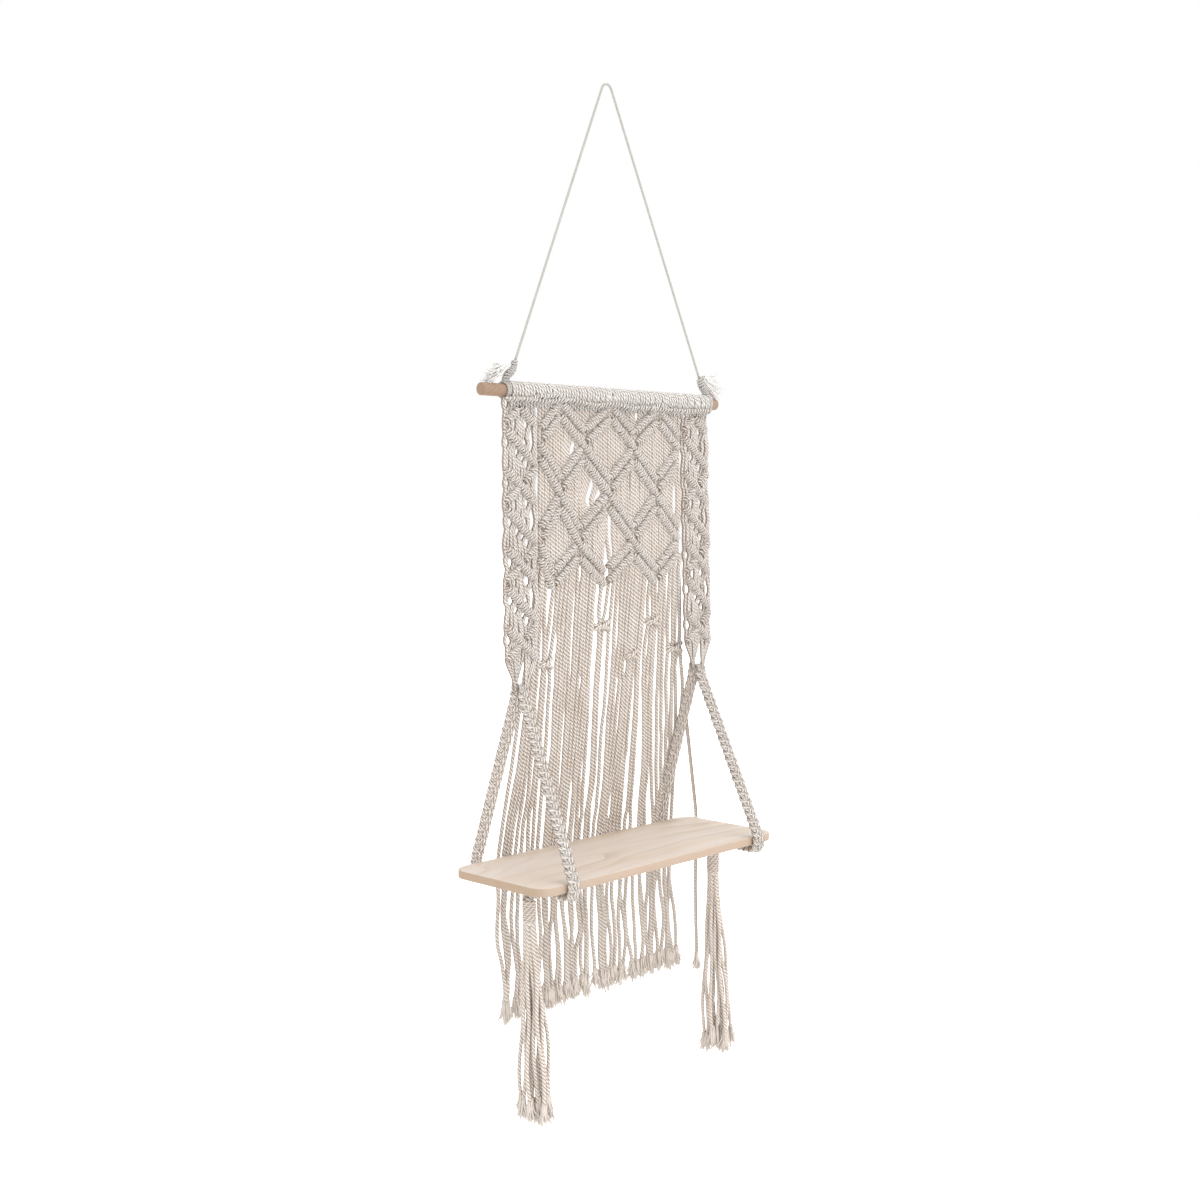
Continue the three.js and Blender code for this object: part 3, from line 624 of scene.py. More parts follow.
@dataclass
class Lattice:
    """The centre panel: cords hanging side by side under a diamond lattice of knotted rows.

    Each level is a height with the x of the lattice's corners there.
    """

    left: float = -118.6
    right: float = 132.6
    cords: int = 56
    row_pitch: float = 17.0
    levels: tuple[tuple[float, tuple[float, ...]], ...] = (
        (-9.0, (-87.0, 2.0, 90.0)),
        (-60.0, (-120.5, -46.5, 43.5, 130.0)),
        (-118.0, (-87.5, -2.0, 86.0)),
        (-178.0, (-120.5, -55.5, 42.5, 130.0)),
        (-232.0, (-101.0, -9.0, 86.0)),
    )
    slit_top: float = -133.0
    slit_x: float = -6.0
    partings: tuple[Parting, ...] = (
        Parting(4.0, -164.0, 8.0, 88.0),
        Parting(-1.5, -210.0, 8.0, 52.0),
        Parting(-61.0, -67.5, 9.5, 20.0),
        Parting(-51.0, -67.5, 9.5, 12.0),
        Parting(-30.0, -121.0, 10.0, 32.0),
        Parting(-20.5, -125.0, 12.0, 22.0),
        Parting(-11.5, -128.0, 12.0, 12.0),
        Parting(51.0, -21.5, 8.0, 12.0),
        Parting(124.0, -126.0, 8.5, 44.0),
    )
    rings: int = 52
    slit_clearance: float = 4.0

    def corners(self, band: int) -> list[tuple[float, bool]]:
        """The corners between one level and the next.

        Args:
            band: the number of the upper level, from the top.

        Returns:
            The x of each corner from the left, with whether it is an upper one.
        """
        upper = [(x, True) for x in self.levels[band][1]]
        lower = [(x, False) for x in self.levels[band + 1][1]]
        return sorted(upper + lower)

    def hem(self, x: Array) -> Array:
        """Height of the panel's last row, by straight lines between its corners.

        Args:
            x: where along the panel.

        Returns:
            The heights.
        """
        band = len(self.levels) - 2
        upper_z = self.levels[band][0] - self.row_pitch
        lower_z = self.levels[band + 1][0]
        corners = self.corners(band)
        at_x = [c[0] for c in corners]
        at_z = [upper_z if is_upper else lower_z for _, is_upper in corners]
        return np.interp(x, at_x, at_z)

    def rows(self) -> list[KnotRow]:
        """Every row of the lattice.

        Each line between an upper and a lower corner is two rows, the second one row pitch under
        the first at the upper corner, and the first one row pitch over the second at the lower.
        A row that rises to the right stops short where a falling one crosses it.

        Returns:
            The rows from the top down.
        """
        made = []
        for band in range(len(self.levels) - 1):
            upper_z = self.levels[band][0]
            lower_z = self.levels[band + 1][0]
            corners = self.corners(band)
            for (xa, a_upper), (xb, _) in zip(corners[:-1], corners[1:]):
                for first in (True, False):
                    high = upper_z if first else upper_z - self.row_pitch
                    low = lower_z + self.row_pitch if first else lower_z
                    start = np.array([xa, high if a_upper else low])
                    end = np.array([xb, low if a_upper else high])
                    run = unit(end - start)
                    if not a_upper:
                        start = start + run * (2.0 if first else 7.0)
                        end = end - run * (7.0 if first and band > 0 else 3.0)
                    made.append(KnotRow(tuple(start), tuple(end)))
        return made

    def clear_of_slit(self, x: Array, z: Array) -> Array:
        """Which points keep clear of the slit between the two halves of the panel."""
        return (np.abs(x - self.slit_x) > self.slit_clearance) | (z > self.slit_top)

    def build(self) -> tuple[bpy.types.Object, bpy.types.Object]:
        """Makes the hanging cords and the knotted rows.

        A cord hangs straight from the heading to the hem, moved aside round the openings, with
        a slow sideways wave of a third of a millimetre.

        Returns:
            The hanging cords and the rows, as two pieces.
        """
        rng = np.random.default_rng(11)
        x = np.linspace(self.left, self.right, self.cords)
        share = np.linspace(0.0, 1.0, self.rings)
        z = mix(CLOTH_TOP, (self.hem(x) - 2.0)[:, None], share[None, :])
        phase = rng.random((self.cords, 1)) * 6.0
        across = np.broadcast_to(x[:, None], z.shape) + 0.35 * np.sin(z / 17.0 + phase)
        across = parted(across, z, list(self.partings))
        unevenness = 0.35 * rng.standard_normal((self.cords, 1))
        depth = CLOTH_Y + unevenness + 0.3 * np.sin(z / 11.0 + 2.0 * phase)
        filling = CordMesh("panel_cords", seed=11)
        filling.add(np.stack([across, depth, z], axis=-1), CORD_RADIUS + 0.3, turn=0.25)

        knots = CordMesh("panel_knots", seed=12)
        for row in self.rows():
            add_row(knots, row, rng, self.clear_of_slit)
        return filling.build(), knots.build()


@dataclass
class Strap:
    """A narrow knotted strap beside the panel, whose foot is gathered into two braids.

    Each of the holes is x and z from the middle of an X of rows, with its width and height.
    """

    name: str
    top_x: float
    bottom_x: float
    seed: int
    cords: int = 12
    half: float = 22.6
    bottom: float = -352.0
    gather_from: float = -306.0
    first_z: float = -18.0
    step: float = 46.0
    rise: float = 19.5
    count: int = 7
    holes: tuple[tuple[float, float, float, float], ...] = (
        (-18.5, 3.0, 6.5, 9.0),
        (9.5, -20.0, 7.0, 10.0),
        (-9.5, -21.0, 5.5, 12.0),
        (-18.5, -42.0, 6.5, 10.0),
        (-6.0, -53.0, 6.0, 9.0),
        (3.5, -59.0, 6.0, 8.0),
        (10.5, -66.0, 7.0, 11.0),
        (9.5, -43.0, 6.5, 10.0),
        (17.6, -42.0, 6.5, 22.0),
    )
    rings: int = 96

    def middle(self, z: Array) -> Array:
        """The strap's middle at height z, on a line from its top to its foot."""
        return mix(self.top_x, self.bottom_x, z / self.bottom)

    def edge_bulge(self, z: Array) -> Array:
        """How far the edge cords swing out between the rows' ends: a squared sine, 0 to 1."""
        return np.sin((z - self.first_z) / self.step * np.pi) ** 2

    def rows(self) -> list[KnotRow]:
        """The strap's rows: an X, a falling row, and so on. The first X shows its lower half.

        Returns:
            The rows from the top down.
        """
        made = []
        for k in range(self.count):
            z = self.first_z - k * self.step
            middle = float(self.middle(np.array(z)))
            reach = self.half + 1.4
            shape = {"half": 3.9, "depth": 3.5, "radius": 1.95}
            upper_left = (middle - reach, z + self.rise)
            lower_right = (middle + reach - 2.0, z - self.rise)
            lower_left = (middle - reach, z - self.rise)
            upper_right = (middle + reach - 2.0, z + self.rise)
            if k == 0:
                made.append(KnotRow((middle - 2.0, z), lower_right, **shape))
                made.append(KnotRow(lower_left, (middle - 5.0, z - 3.0), **shape))
                continue
            made.append(KnotRow(upper_left, lower_right, **shape))
            if k % 2 == 0:
                made.append(KnotRow(lower_left, (middle - 5.0, z - 4.0), **shape))
                made.append(KnotRow((middle + 5.0, z + 4.0), upper_right, **shape))
        return made

    def openings(self) -> list[Parting]:
        """The openings under the rows, which repeat with every second row."""
        return [
            Parting(float(self.middle(np.array(z + dz))) + dx, z + dz, wide, high)
            for z in (self.first_z - 2 * k * self.step for k in range(4))
            for dx, dz, wide, high in self.holes
            if z + dz > self.gather_from
        ]

    def build(self) -> bpy.types.Object:
        """Makes the strap's cords and rows.

        A cord keeps its share of the strap's width, swings out with the bulge by up to 2.4 mm
        at the edges, and runs to the braid on its own side of the foot over the last stretch.

        Returns:
            The piece.
        """
        rng = np.random.default_rng(self.seed)
        mesh = CordMesh(self.name, seed=self.seed)
        t = np.linspace(-1.0, 1.0, self.cords)[:, None]
        heights = np.linspace(CLOTH_TOP, self.bottom, self.rings)
        z = np.broadcast_to(heights[None, :], (self.cords, self.rings))
        across = self.middle(z) + t * (self.half + 2.4 * self.edge_bulge(z))
        phase = rng.random((self.cords, 1)) * 6.0
        across = across + 0.5 * np.sin(z / 9.0 + phase)
        across = parted(across, z, self.openings())
        gather = smooth_step((self.gather_from - z) / (self.gather_from - self.bottom))
        side = np.where(t < 0.1, 1.0, -1.0)
        target_x = self.bottom_x - side * 1.5 + 2.4 * t
        across = mix(across, target_x, gather)
        unevenness = 0.5 * rng.standard_normal((self.cords, 1))
        depth = CLOTH_Y + unevenness + 0.5 * np.sin(z / 8.0 + 2.0 * phase)
        depth = mix(depth, side * 5.6 + 1.6 * np.cos(9.0 * t), gather)
        radius = mix(CORD_RADIUS + 0.2, 1.8, gather)
        mesh.add(np.stack([across, depth, z], axis=-1), radius, turn=0.25)
        for row in self.rows():
            add_row(mesh, row, rng)
        return mesh.build()


@dataclass(frozen=True)
class Guide:
    """A line between two neighbouring strands of the fringe, from the hem to the cut ends.

    after is the number of strands on its left. Each point is a height, the line's x there, and
    the width of the opening that shows between the two strands. CLOSED means that none shows.
    """

    after: int
    points: tuple[tuple[float, float, float], ...]

    def at(self, z: Array) -> tuple[Array, Array]:
        """The line's x and the opening's width at height z, on straight lines between points."""
        height, x, wide = np.array(self.points[::-1]).T
        return np.interp(z, height, x), np.interp(z, height, wide)


# The width of an opening that doesn't show, where the strands beside it overlap.
CLOSED = -1.4


@dataclass
class Fringe:
    """The long strands under the panel, which lean back to hang behind the board.

    The guides and the knots give x as it is seen against a plane that leans back by view_lean
    under the panel, up to view_depth. A strand behind that plane stands further to the right by
    view_slope times its distance from it, so that it is seen in the same place. cord_seen is the
    width that a strand shows, and open_extra is added where an opening shows. Each knot is a
    seen x, a height and a half width.
    """

    strands: int = 45
    view_slope: float = 1.058
    view_lean: float = 52.0 / 361.0
    view_depth: float = 54.0
    cord_seen: float = 6.4
    open_extra: float = 1.2
    behind: float = 55.8
    knee: float = -552.0
    end: float = -743.0
    rings: int = 116
    knots: tuple[tuple[float, float, float], ...] = (
        (-90.0, -325.0, 9.5), (4.0, -284.0, 12.5), (64.0, -325.0, 9.0), (98.0, -283.0, 9.0),
        (149.5, -322.0, 12.5),
    )
    guides: tuple[Guide, ...] = (
        Guide(0, (
            (-215, -121, 0), (-300, -123, 0), (-360, -127, 0), (-420, -131, 0), (-480, -136, 0),
            (-552, -140, 0), (-600, -140, 0), (-640, -141, 0), (-670, -139, 0), (-700, -133, 0),
            (-760, -131, 0),
        )),
        Guide(1, (
            (-215, -116, CLOSED), (-320, -119, CLOSED), (-360, -121.5, 4), (-420, -123, 4),
            (-450, -124, 3.5), (-480, -128, 3), (-510, -131, 2), (-560, -134, 1.5), (-600, -134, 3),
            (-640, -133, 3), (-670, -130, 3), (-688, -127.5, CLOSED), (-760, -124, CLOSED),
        )),
        Guide(4, (
            (-215, -110.5, CLOSED), (-300, -108.5, CLOSED), (-380, -108, CLOSED), (-490, -109, CLOSED),
            (-530, -113, 2), (-560, -114, 2), (-600, -117, 4), (-640, -118, 4), (-665, -116, 0),
            (-690, -115, 2), (-730, -115, 8), (-760, -113, 8),
        )),
        Guide(5, (
            (-215, -108, CLOSED), (-300, -104.5, CLOSED), (-380, -102, CLOSED), (-490, -101, CLOSED),
            (-530, -104, 2), (-560, -104, 4), (-590, -107, CLOSED), (-650, -108.5, 0), (-680, -107, 4),
            (-700, -103, 3), (-712, -101, CLOSED), (-760, -103, CLOSED),
        )),
        Guide(6, (
            (-215, -108, 2), (-240, -106.5, 3), (-280, -102, 3.5), (-318, -98.5, 3), (-350, -98, 3),
            (-368, -97.5, 5), (-385, -95, 1), (-440, -93, 0), (-495, -92, 0), (-525, -95, 4),
            (-560, -94, 4), (-612, -100, 3), (-640, -98, 2), (-660, -97, CLOSED), (-700, -100, CLOSED),
            (-720, -101, 2), (-760, -101, 0),
        )),
        Guide(7, (
            (-215, -97, 4), (-235, -94.5, 5), (-255, -95, 4.5), (-284, -92.5, 1), (-300, -92, CLOSED),
            (-420, -88, CLOSED), (-495, -87, CLOSED), (-515, -88, 4), (-540, -86, 4), (-560, -83, 2),
            (-640, -86, CLOSED), (-760, -86, CLOSED),
        )),
        Guide(8, (
            (-215, -86.5, CLOSED), (-268, -86, 0.5), (-300, -86, 1.5), (-318, -87, 1.5),
            (-335, -86, 2.5), (-350, -83, 3), (-385, -81, 3), (-420, -79.5, 2), (-470, -78.5, 3),
            (-540, -77, 3), (-560, -76.5, 4), (-630, -70, 5), (-650, -70, 0), (-760, -70, CLOSED),
        )),
        Guide(9, (
            (-215, -77, CLOSED), (-283, -77, CLOSED), (-300, -76, 3), (-325, -77.5, 5), (-345, -74, 4),
            (-385, -73, 4), (-428, -69, 5), (-470, -69, 4), (-500, -67, 4.5), (-560, -66, 6),
            (-600, -63, 2), (-640, -60.5, 3), (-700, -60, 3), (-750, -59, 5),
        )),
        Guide(12, (
            (-215, -60, CLOSED), (-360, -55, CLOSED), (-480, -49, CLOSED), (-560, -49, CLOSED),
            (-628, -50, 4), (-645, -50, 2), (-664, -50, CLOSED), (-760, -50, CLOSED),
        )),
        Guide(13, (
            (-215, -57, CLOSED), (-300, -52, CLOSED), (-380, -49, 0), (-400, -47, 3), (-460, -44, 2.5),
            (-488, -43, 1.5), (-500, -43, CLOSED), (-552, -42, CLOSED), (-640, -42, 2), (-680, -41, 3),
            (-718, -37, 1), (-760, -38, CLOSED),
        )),
        Guide(14, (
            (-213, -53.5, 2), (-225, -53, 3), (-280, -50.5, 3), (-345, -43.5, 2), (-355, -43, CLOSED),
            (-420, -41, CLOSED), (-480, -38.5, CLOSED), (-552, -37, 2), (-600, -37, CLOSED),
            (-760, -34, CLOSED),
        )),
        Guide(15, (
            (-205, -47, 3), (-220, -45, 2.5), (-233, -44.5, 0), (-290, -41, CLOSED),
            (-360, -38, CLOSED), (-480, -33, CLOSED), (-552, -31, CLOSED), (-632, -31, 2),
            (-680, -27, 4), (-710, -26, 7), (-742, -24, 4), (-760, -24, 1),
        )),
        Guide(17, (
            (-215, -35, CLOSED), (-340, -26, CLOSED), (-350, -25.5, 1.5), (-362, -25, 0),
            (-420, -23, CLOSED), (-480, -22, 0), (-500, -21, 3), (-560, -20, 2.5), (-600, -18, 2),
            (-635, -17, 3), (-660, -16, 2), (-690, -13, 2), (-710, -12, 5), (-740, -10, 4),
            (-760, -10, 0),
        )),
        Guide(19, (
            (-215, -23, CLOSED), (-380, -13, CLOSED), (-475, -11, CLOSED), (-500, -10, 1),
            (-552, -9, 1), (-600, -6, 3), (-635, -4, 5), (-660, -3, 6), (-680, -1, 7), (-702, -4, 0),
            (-760, -2, CLOSED),
        )),
        Guide(21, (
            (-215, -14, 1), (-240, -10, 5), (-265, -10.5, 5), (-278, -8, 4), (-295, -7.5, 5),
            (-310, -5.5, 6), (-340, -4, 6), (-385, 0.5, 6), (-430, 3, 4), (-460, 6, 5), (-500, 8.5, 7),
            (-522, 7.5, 2), (-528, 7, CLOSED), (-540, 7, 2), (-560, 8, 2), (-628, 13, 5),
            (-650, 15, 4), (-670, 16, CLOSED), (-690, 15, 2), (-720, 15, 6), (-748, 16, 1),
        )),
        Guide(22, (
            (-215, 2, 3), (-235, 1, 4), (-255, 1.5, 5), (-270, 3, 3), (-278, 3.5, CLOSED),
            (-300, 4, CLOSED), (-360, 6, CLOSED), (-480, 17, CLOSED), (-560, 17, CLOSED),
            (-760, 19, CLOSED),
        )),
        Guide(23, (
            (-215, 13, CLOSED), (-255, 12, 0), (-268, 12, 3.5), (-279, 11, 6), (-295, 12, 5),
            (-315, 12, 7), (-365, 16, 7), (-385, 18, 5), (-420, 20, 2.5), (-485, 25, 2),
            (-500, 24, 2.5), (-522, 23, 9), (-534, 24, 4), (-560, 26, 2.5), (-628, 22, 4),
            (-664, 23, 0), (-684, 23, 0), (-710, 25, 3), (-738, 27, 1),
        )),
        Guide(24, (
            (-215, 20, CLOSED), (-272, 22, 0), (-290, 21.5, 4), (-305, 25, 3), (-330, 26, 2),
            (-385, 29, 3), (-392, 28.5, 0), (-415, 28, 1), (-440, 30, 3), (-460, 32, 4), (-490, 35, 6),
            (-512, 35, 6), (-530, 35, 3), (-545, 32.5, 2.5), (-560, 34, 2), (-628, 34, 3),
            (-660, 36, 4), (-680, 40, 5), (-710, 40, 3), (-740, 43, 2),
        )),
        Guide(25, (
            (-215, 29, CLOSED), (-279, 32.5, 0), (-300, 33, 3), (-322, 35, 0.5), (-360, 37, CLOSED),
            (-480, 41.5, CLOSED), (-560, 41, CLOSED), (-760, 49, CLOSED),
        )),
        Guide(28, (
            (-215, 48, CLOSED), (-300, 53, 0), (-325, 55.5, CLOSED), (-333, 56, 4.5), (-345, 57, 4),
            (-358, 59, CLOSED), (-420, 60, CLOSED), (-480, 58, CLOSED), (-515, 55, 0), (-535, 56, 4),
            (-547, 56, CLOSED), (-600, 53, CLOSED), (-640, 53, 2), (-662, 57, 2), (-670, 58, CLOSED),
            (-760, 60, CLOSED),
        )),
        Guide(29, (
            (-215, 53, CLOSED), (-420, 65, CLOSED), (-552, 63, CLOSED), (-652, 65.5, 0), (-670, 67, 3),
            (-686, 68, CLOSED), (-760, 68, CLOSED),
        )),
        Guide(30, (
            (-215, 58, CLOSED), (-420, 68, CLOSED), (-552, 70, CLOSED), (-628, 78, 6), (-670, 77, 5),
            (-700, 78, 4), (-726, 78, 0), (-760, 76, CLOSED),
        )),
        Guide(31, (
            (-215, 63, CLOSED), (-300, 67, CLOSED), (-436, 71, 0), (-450, 71.5, 3), (-463, 72, CLOSED),
            (-552, 77, CLOSED), (-650, 84, CLOSED), (-710, 87.5, 1.5), (-735, 87, 2), (-760, 86, 0),
        )),
        Guide(33, (
            (-215, 75, CLOSED), (-300, 78, CLOSED), (-420, 88, CLOSED), (-535, 94, CLOSED),
            (-548, 95, 4), (-562, 96, 5), (-628, 102, 6), (-660, 103, 9), (-690, 104, 9),
            (-710, 104, 6), (-740, 110, 3),
        )),
        Guide(34, (
            (-232, 80, 4), (-250, 80, 4), (-265, 82, 3.5), (-287, 85, 4), (-292, 85, CLOSED),
            (-320, 83, CLOSED), (-345, 85.5, 2.5), (-370, 89, 4), (-385, 91.5, 6), (-410, 97, 8),
            (-440, 100.5, 10), (-480, 105, 11), (-530, 107, 10), (-560, 110, 12), (-628, 115, 8),
            (-660, 120, 12), (-690, 121, 14), (-720, 120, 13), (-740, 118, 2),
        )),
        Guide(35, (
            (-232, 87, CLOSED), (-252, 89, 2.5), (-265, 91, 3), (-276, 94, 2), (-282, 95, CLOSED),
            (-360, 97, CLOSED), (-480, 115, CLOSED), (-760, 129, CLOSED),
        )),
        Guide(37, (
            (-232, 102, 2), (-245, 104, 3.5), (-256, 106, 2), (-264, 105, CLOSED), (-300, 105, CLOSED),
            (-400, 114, CLOSED), (-470, 125, CLOSED), (-480, 126, 1), (-498, 129, 2), (-510, 130, 6),
            (-530, 132, 8), (-562, 139, 9), (-600, 138, CLOSED), (-760, 141, CLOSED),
        )),
        Guide(38, (
            (-232, 108, CLOSED), (-280, 108, 1), (-300, 110.5, 4), (-345, 116, 5), (-365, 118, 7),
            (-405, 122.5, 6), (-440, 128.5, 5), (-460, 132.5, 3), (-480, 135.5, 2.5), (-520, 142.5, 3),
            (-543, 148, 1), (-560, 150, CLOSED), (-760, 147, CLOSED),
        )),
        Guide(39, (
            (-232, 114, CLOSED), (-270, 117, 1), (-320, 122, 2), (-385, 129.5, 2.5), (-420, 135, 3),
            (-445, 139, 4), (-480, 144.5, 3), (-522, 152, 1.5), (-532, 153, CLOSED),
            (-640, 151, CLOSED), (-760, 152, CLOSED),
        )),
        Guide(40, (
            (-222, 117, 3), (-250, 121, 3.5), (-305, 128, 2.5), (-320, 131, 5), (-345, 134, 4),
            (-370, 137, 3), (-400, 142, 4), (-432, 147, 4), (-440, 148, 0), (-455, 150.5, 2),
            (-475, 153.5, 3), (-498, 158, 2.5), (-505, 158, CLOSED), (-560, 157, CLOSED),
            (-628, 160, 2), (-660, 159, 3), (-690, 163, 6), (-725, 163, 2), (-760, 161, 0),
        )),
        Guide(41, (
            (-215, 127, CLOSED), (-268, 132.5, 1), (-290, 135, 3), (-314, 139.5, 4),
            (-320, 141, CLOSED), (-330, 142, 5), (-370, 146.5, 4), (-400, 152, 3), (-420, 155, 2.5),
            (-460, 160.5, 3), (-475, 162, CLOSED), (-560, 163, CLOSED), (-628, 168, 1),
            (-650, 169.5, 2), (-670, 172, 5), (-690, 174, 3), (-700, 174, CLOSED), (-760, 172, CLOSED),
        )),
        Guide(43, (
            (-212, 136, 2), (-255, 144, 2), (-295, 152, 3), (-314, 155, 4), (-320, 155.5, CLOSED),
            (-350, 153, CLOSED), (-370, 157, 2), (-400, 161.5, 3), (-440, 166.5, 4), (-454, 169, 0),
            (-560, 173, CLOSED), (-628, 178, 2), (-645, 178, CLOSED), (-760, 186, CLOSED),
        )),
        Guide(44, (
            (-215, 140, CLOSED), (-300, 157, CLOSED), (-320, 159, CLOSED), (-345, 161.5, 4),
            (-365, 166, 6), (-385, 170.5, 8), (-400, 172.5, 6), (-418, 173.5, 3), (-425, 173, CLOSED),
            (-500, 176, 0), (-530, 177, 4), (-562, 179, 4), (-640, 183, CLOSED), (-700, 187, 1),
            (-720, 190, 6), (-738, 193, 3), (-760, 195, 1),
        )),
        Guide(45, (
            (-215, 144, 0), (-240, 150, 0), (-280, 158, 0), (-320, 163, 0), (-345, 171, 0),
            (-366, 179, 0), (-400, 183, 0), (-450, 180, 0), (-500, 183, 0), (-552, 187, 0),
            (-628, 191, 0), (-645, 189, 0), (-670, 191, 0), (-690, 196, 0), (-720, 200, 0),
            (-765, 208, 0),
        )),
    )
    strand_radius: float = 2.65

    def seen_middles(self, z: Array) -> Array:
        """The strands' middles where the camera sees them against a plane that leans back.

        The two strands beside a guide stand half a seen cord and half the opening away from it.
        The strands from one guide to the next are spread evenly between those two.

        Args:
            z: heights, one for each ring.

        Returns:
            The seen x, shaped strands x rings.
        """
        known = {}
        for guide in self.guides:
            x, wide = guide.at(z)
            is_open = np.clip(1.0 + wide / -CLOSED, 0.0, 1.0)
            away = 0.5 * (self.cord_seen + wide + self.open_extra * is_open)
            if guide.after > 0:
                known[guide.after - 1] = known.get(guide.after - 1, []) + [x - away]
            if guide.after < self.strands:
                known[guide.after] = known.get(guide.after, []) + [x + away]
        places = sorted(known)
        middles = np.array([np.mean(known[place], axis=0) for place in places])
        every = np.arange(self.strands)
        low = np.searchsorted(places, every, side="right") - 1
        high = np.minimum(low + 1, len(places) - 1)
        first = np.array(places)[low]
        gap = np.maximum(np.array(places)[high] - first, 1)
        share = ((every - first) / gap)[:, None]
        return mix(middles[low], middles[high], share)

    def build(self, panel: Lattice) -> bpy.types.Object:
        """Makes the strands, their gathering knots and their frayed ends.

        A strand follows the guides in x. It leans back on a straight line from the hem to the
        board's back edge and hangs down from there, with a slow small sine. Strands that stand
        closer than a cord's thickness step in front of and behind each other in turn.

        Args:
            panel: the panel, whose hem the strands hang from.

        Returns:
            The piece.
        """
        rng = np.random.default_rng(21)
        mesh = CordMesh("fringe_strands", seed=21)
        end = self.end - 8.0 * rng.random(self.strands)
        level = np.linspace(-205.0, -755.0, self.rings)
        seen = self.seen_middles(level)
        y = self.depth(panel, np.broadcast_to(level, seen.shape), seen)
        plane = np.clip(self.view_lean * (-200.0 - level), 0.0, self.view_depth)
        x = seen + self.view_slope * (y - plane)

        spacing = np.gradient(x, axis=0)
        squeeze = np.clip(2.2 * CORD_RADIUS - spacing, 0.0, 4.0)
        turn = np.where(np.arange(self.strands) % 2 == 0, 1.0, -1.0)[:, None]
        free = np.clip((self.knee - level) / (self.knee - self.end), 0.0, 1.0)
        wave = 0.3 + 1.5 * smooth_step(2.0 * free)
        phase = rng.random((self.strands, 2, 1)) * 2.0 * np.pi
        x = x + wave * np.sin(level / 19.0 + phase[:, 0])
        y = y + 0.45 * turn * squeeze + 0.6 * wave * np.sin(level / 23.0 + phase[:, 1])

        root = panel.hem(x[:, 2]) - 1.0
        t = np.linspace(0.0, 1.0, self.rings)
        z = mix(root[:, None], end[:, None], t[None, :])
        rising = level[::-1]
        x = np.array([np.interp(z[i], rising, x[i, ::-1]) for i in range(self.strands)])
        y = np.array([np.interp(z[i], rising, y[i, ::-1]) for i in range(self.strands)])
        swell = 1.0 + 0.05 * rng.standard_normal((self.strands, 1)) * np.ones_like(z)
        mesh.add(np.stack([x, y, z], axis=-1), self.strand_radius * swell, turn=0.25)
        ends = np.stack([x[:, -1], y[:, -1], z[:, -1]], axis=-1)
        frayed_ends(mesh, ends, 17.0, 7.5, rng, fibres=36)
        self.add_knots(mesh, panel)
        return mesh.build()

    def depth(self, panel: Lattice, z: Array, x: Array) -> Array:
        """How far back the strands hang at a height, from the hem to the board and below."""
        root = panel.hem(x) - 1.0
        return mix(CLOTH_Y - 1.0, self.behind, np.clip((root - z) / (root - self.knee), 0.0, 1.0))

    def add_knots(self, mesh: CordMesh, panel: Lattice) -> None:
        """Adds the two crossing cords of each gathering knot, with their bends at its sides.

        Each cord is a closed flat loop round the held strands, seen as a long ellipse, and the
        two tip opposite ways, so that they cross in front.

        Args:
            mesh: the fringe's mesh.
            panel: the panel, for the depth at which the strands hang.
        """
        angle = round_angles(24)
        size = 2.6
        for seen_x, z, half in self.knots:
            y = float(self.depth(panel, np.array(z), np.array(seen_x)))
            plane = self.view_lean * (-200.0 - z)
            x = seen_x + self.view_slope * (y - plane)
            for lift, tip in ((1.5, 4.2), (-1.7, -4.0)):
                loop = np.stack([
                    x + 1.08 * half * np.cos(angle),
                    y - 2.0 * size * np.sin(angle),
                    z + lift + tip * np.cos(angle) + 0.8 * np.sin(2.0 * angle),
                ], axis=1)
                mesh.add(loop, size, closed=True, reference=AXIS_Z)


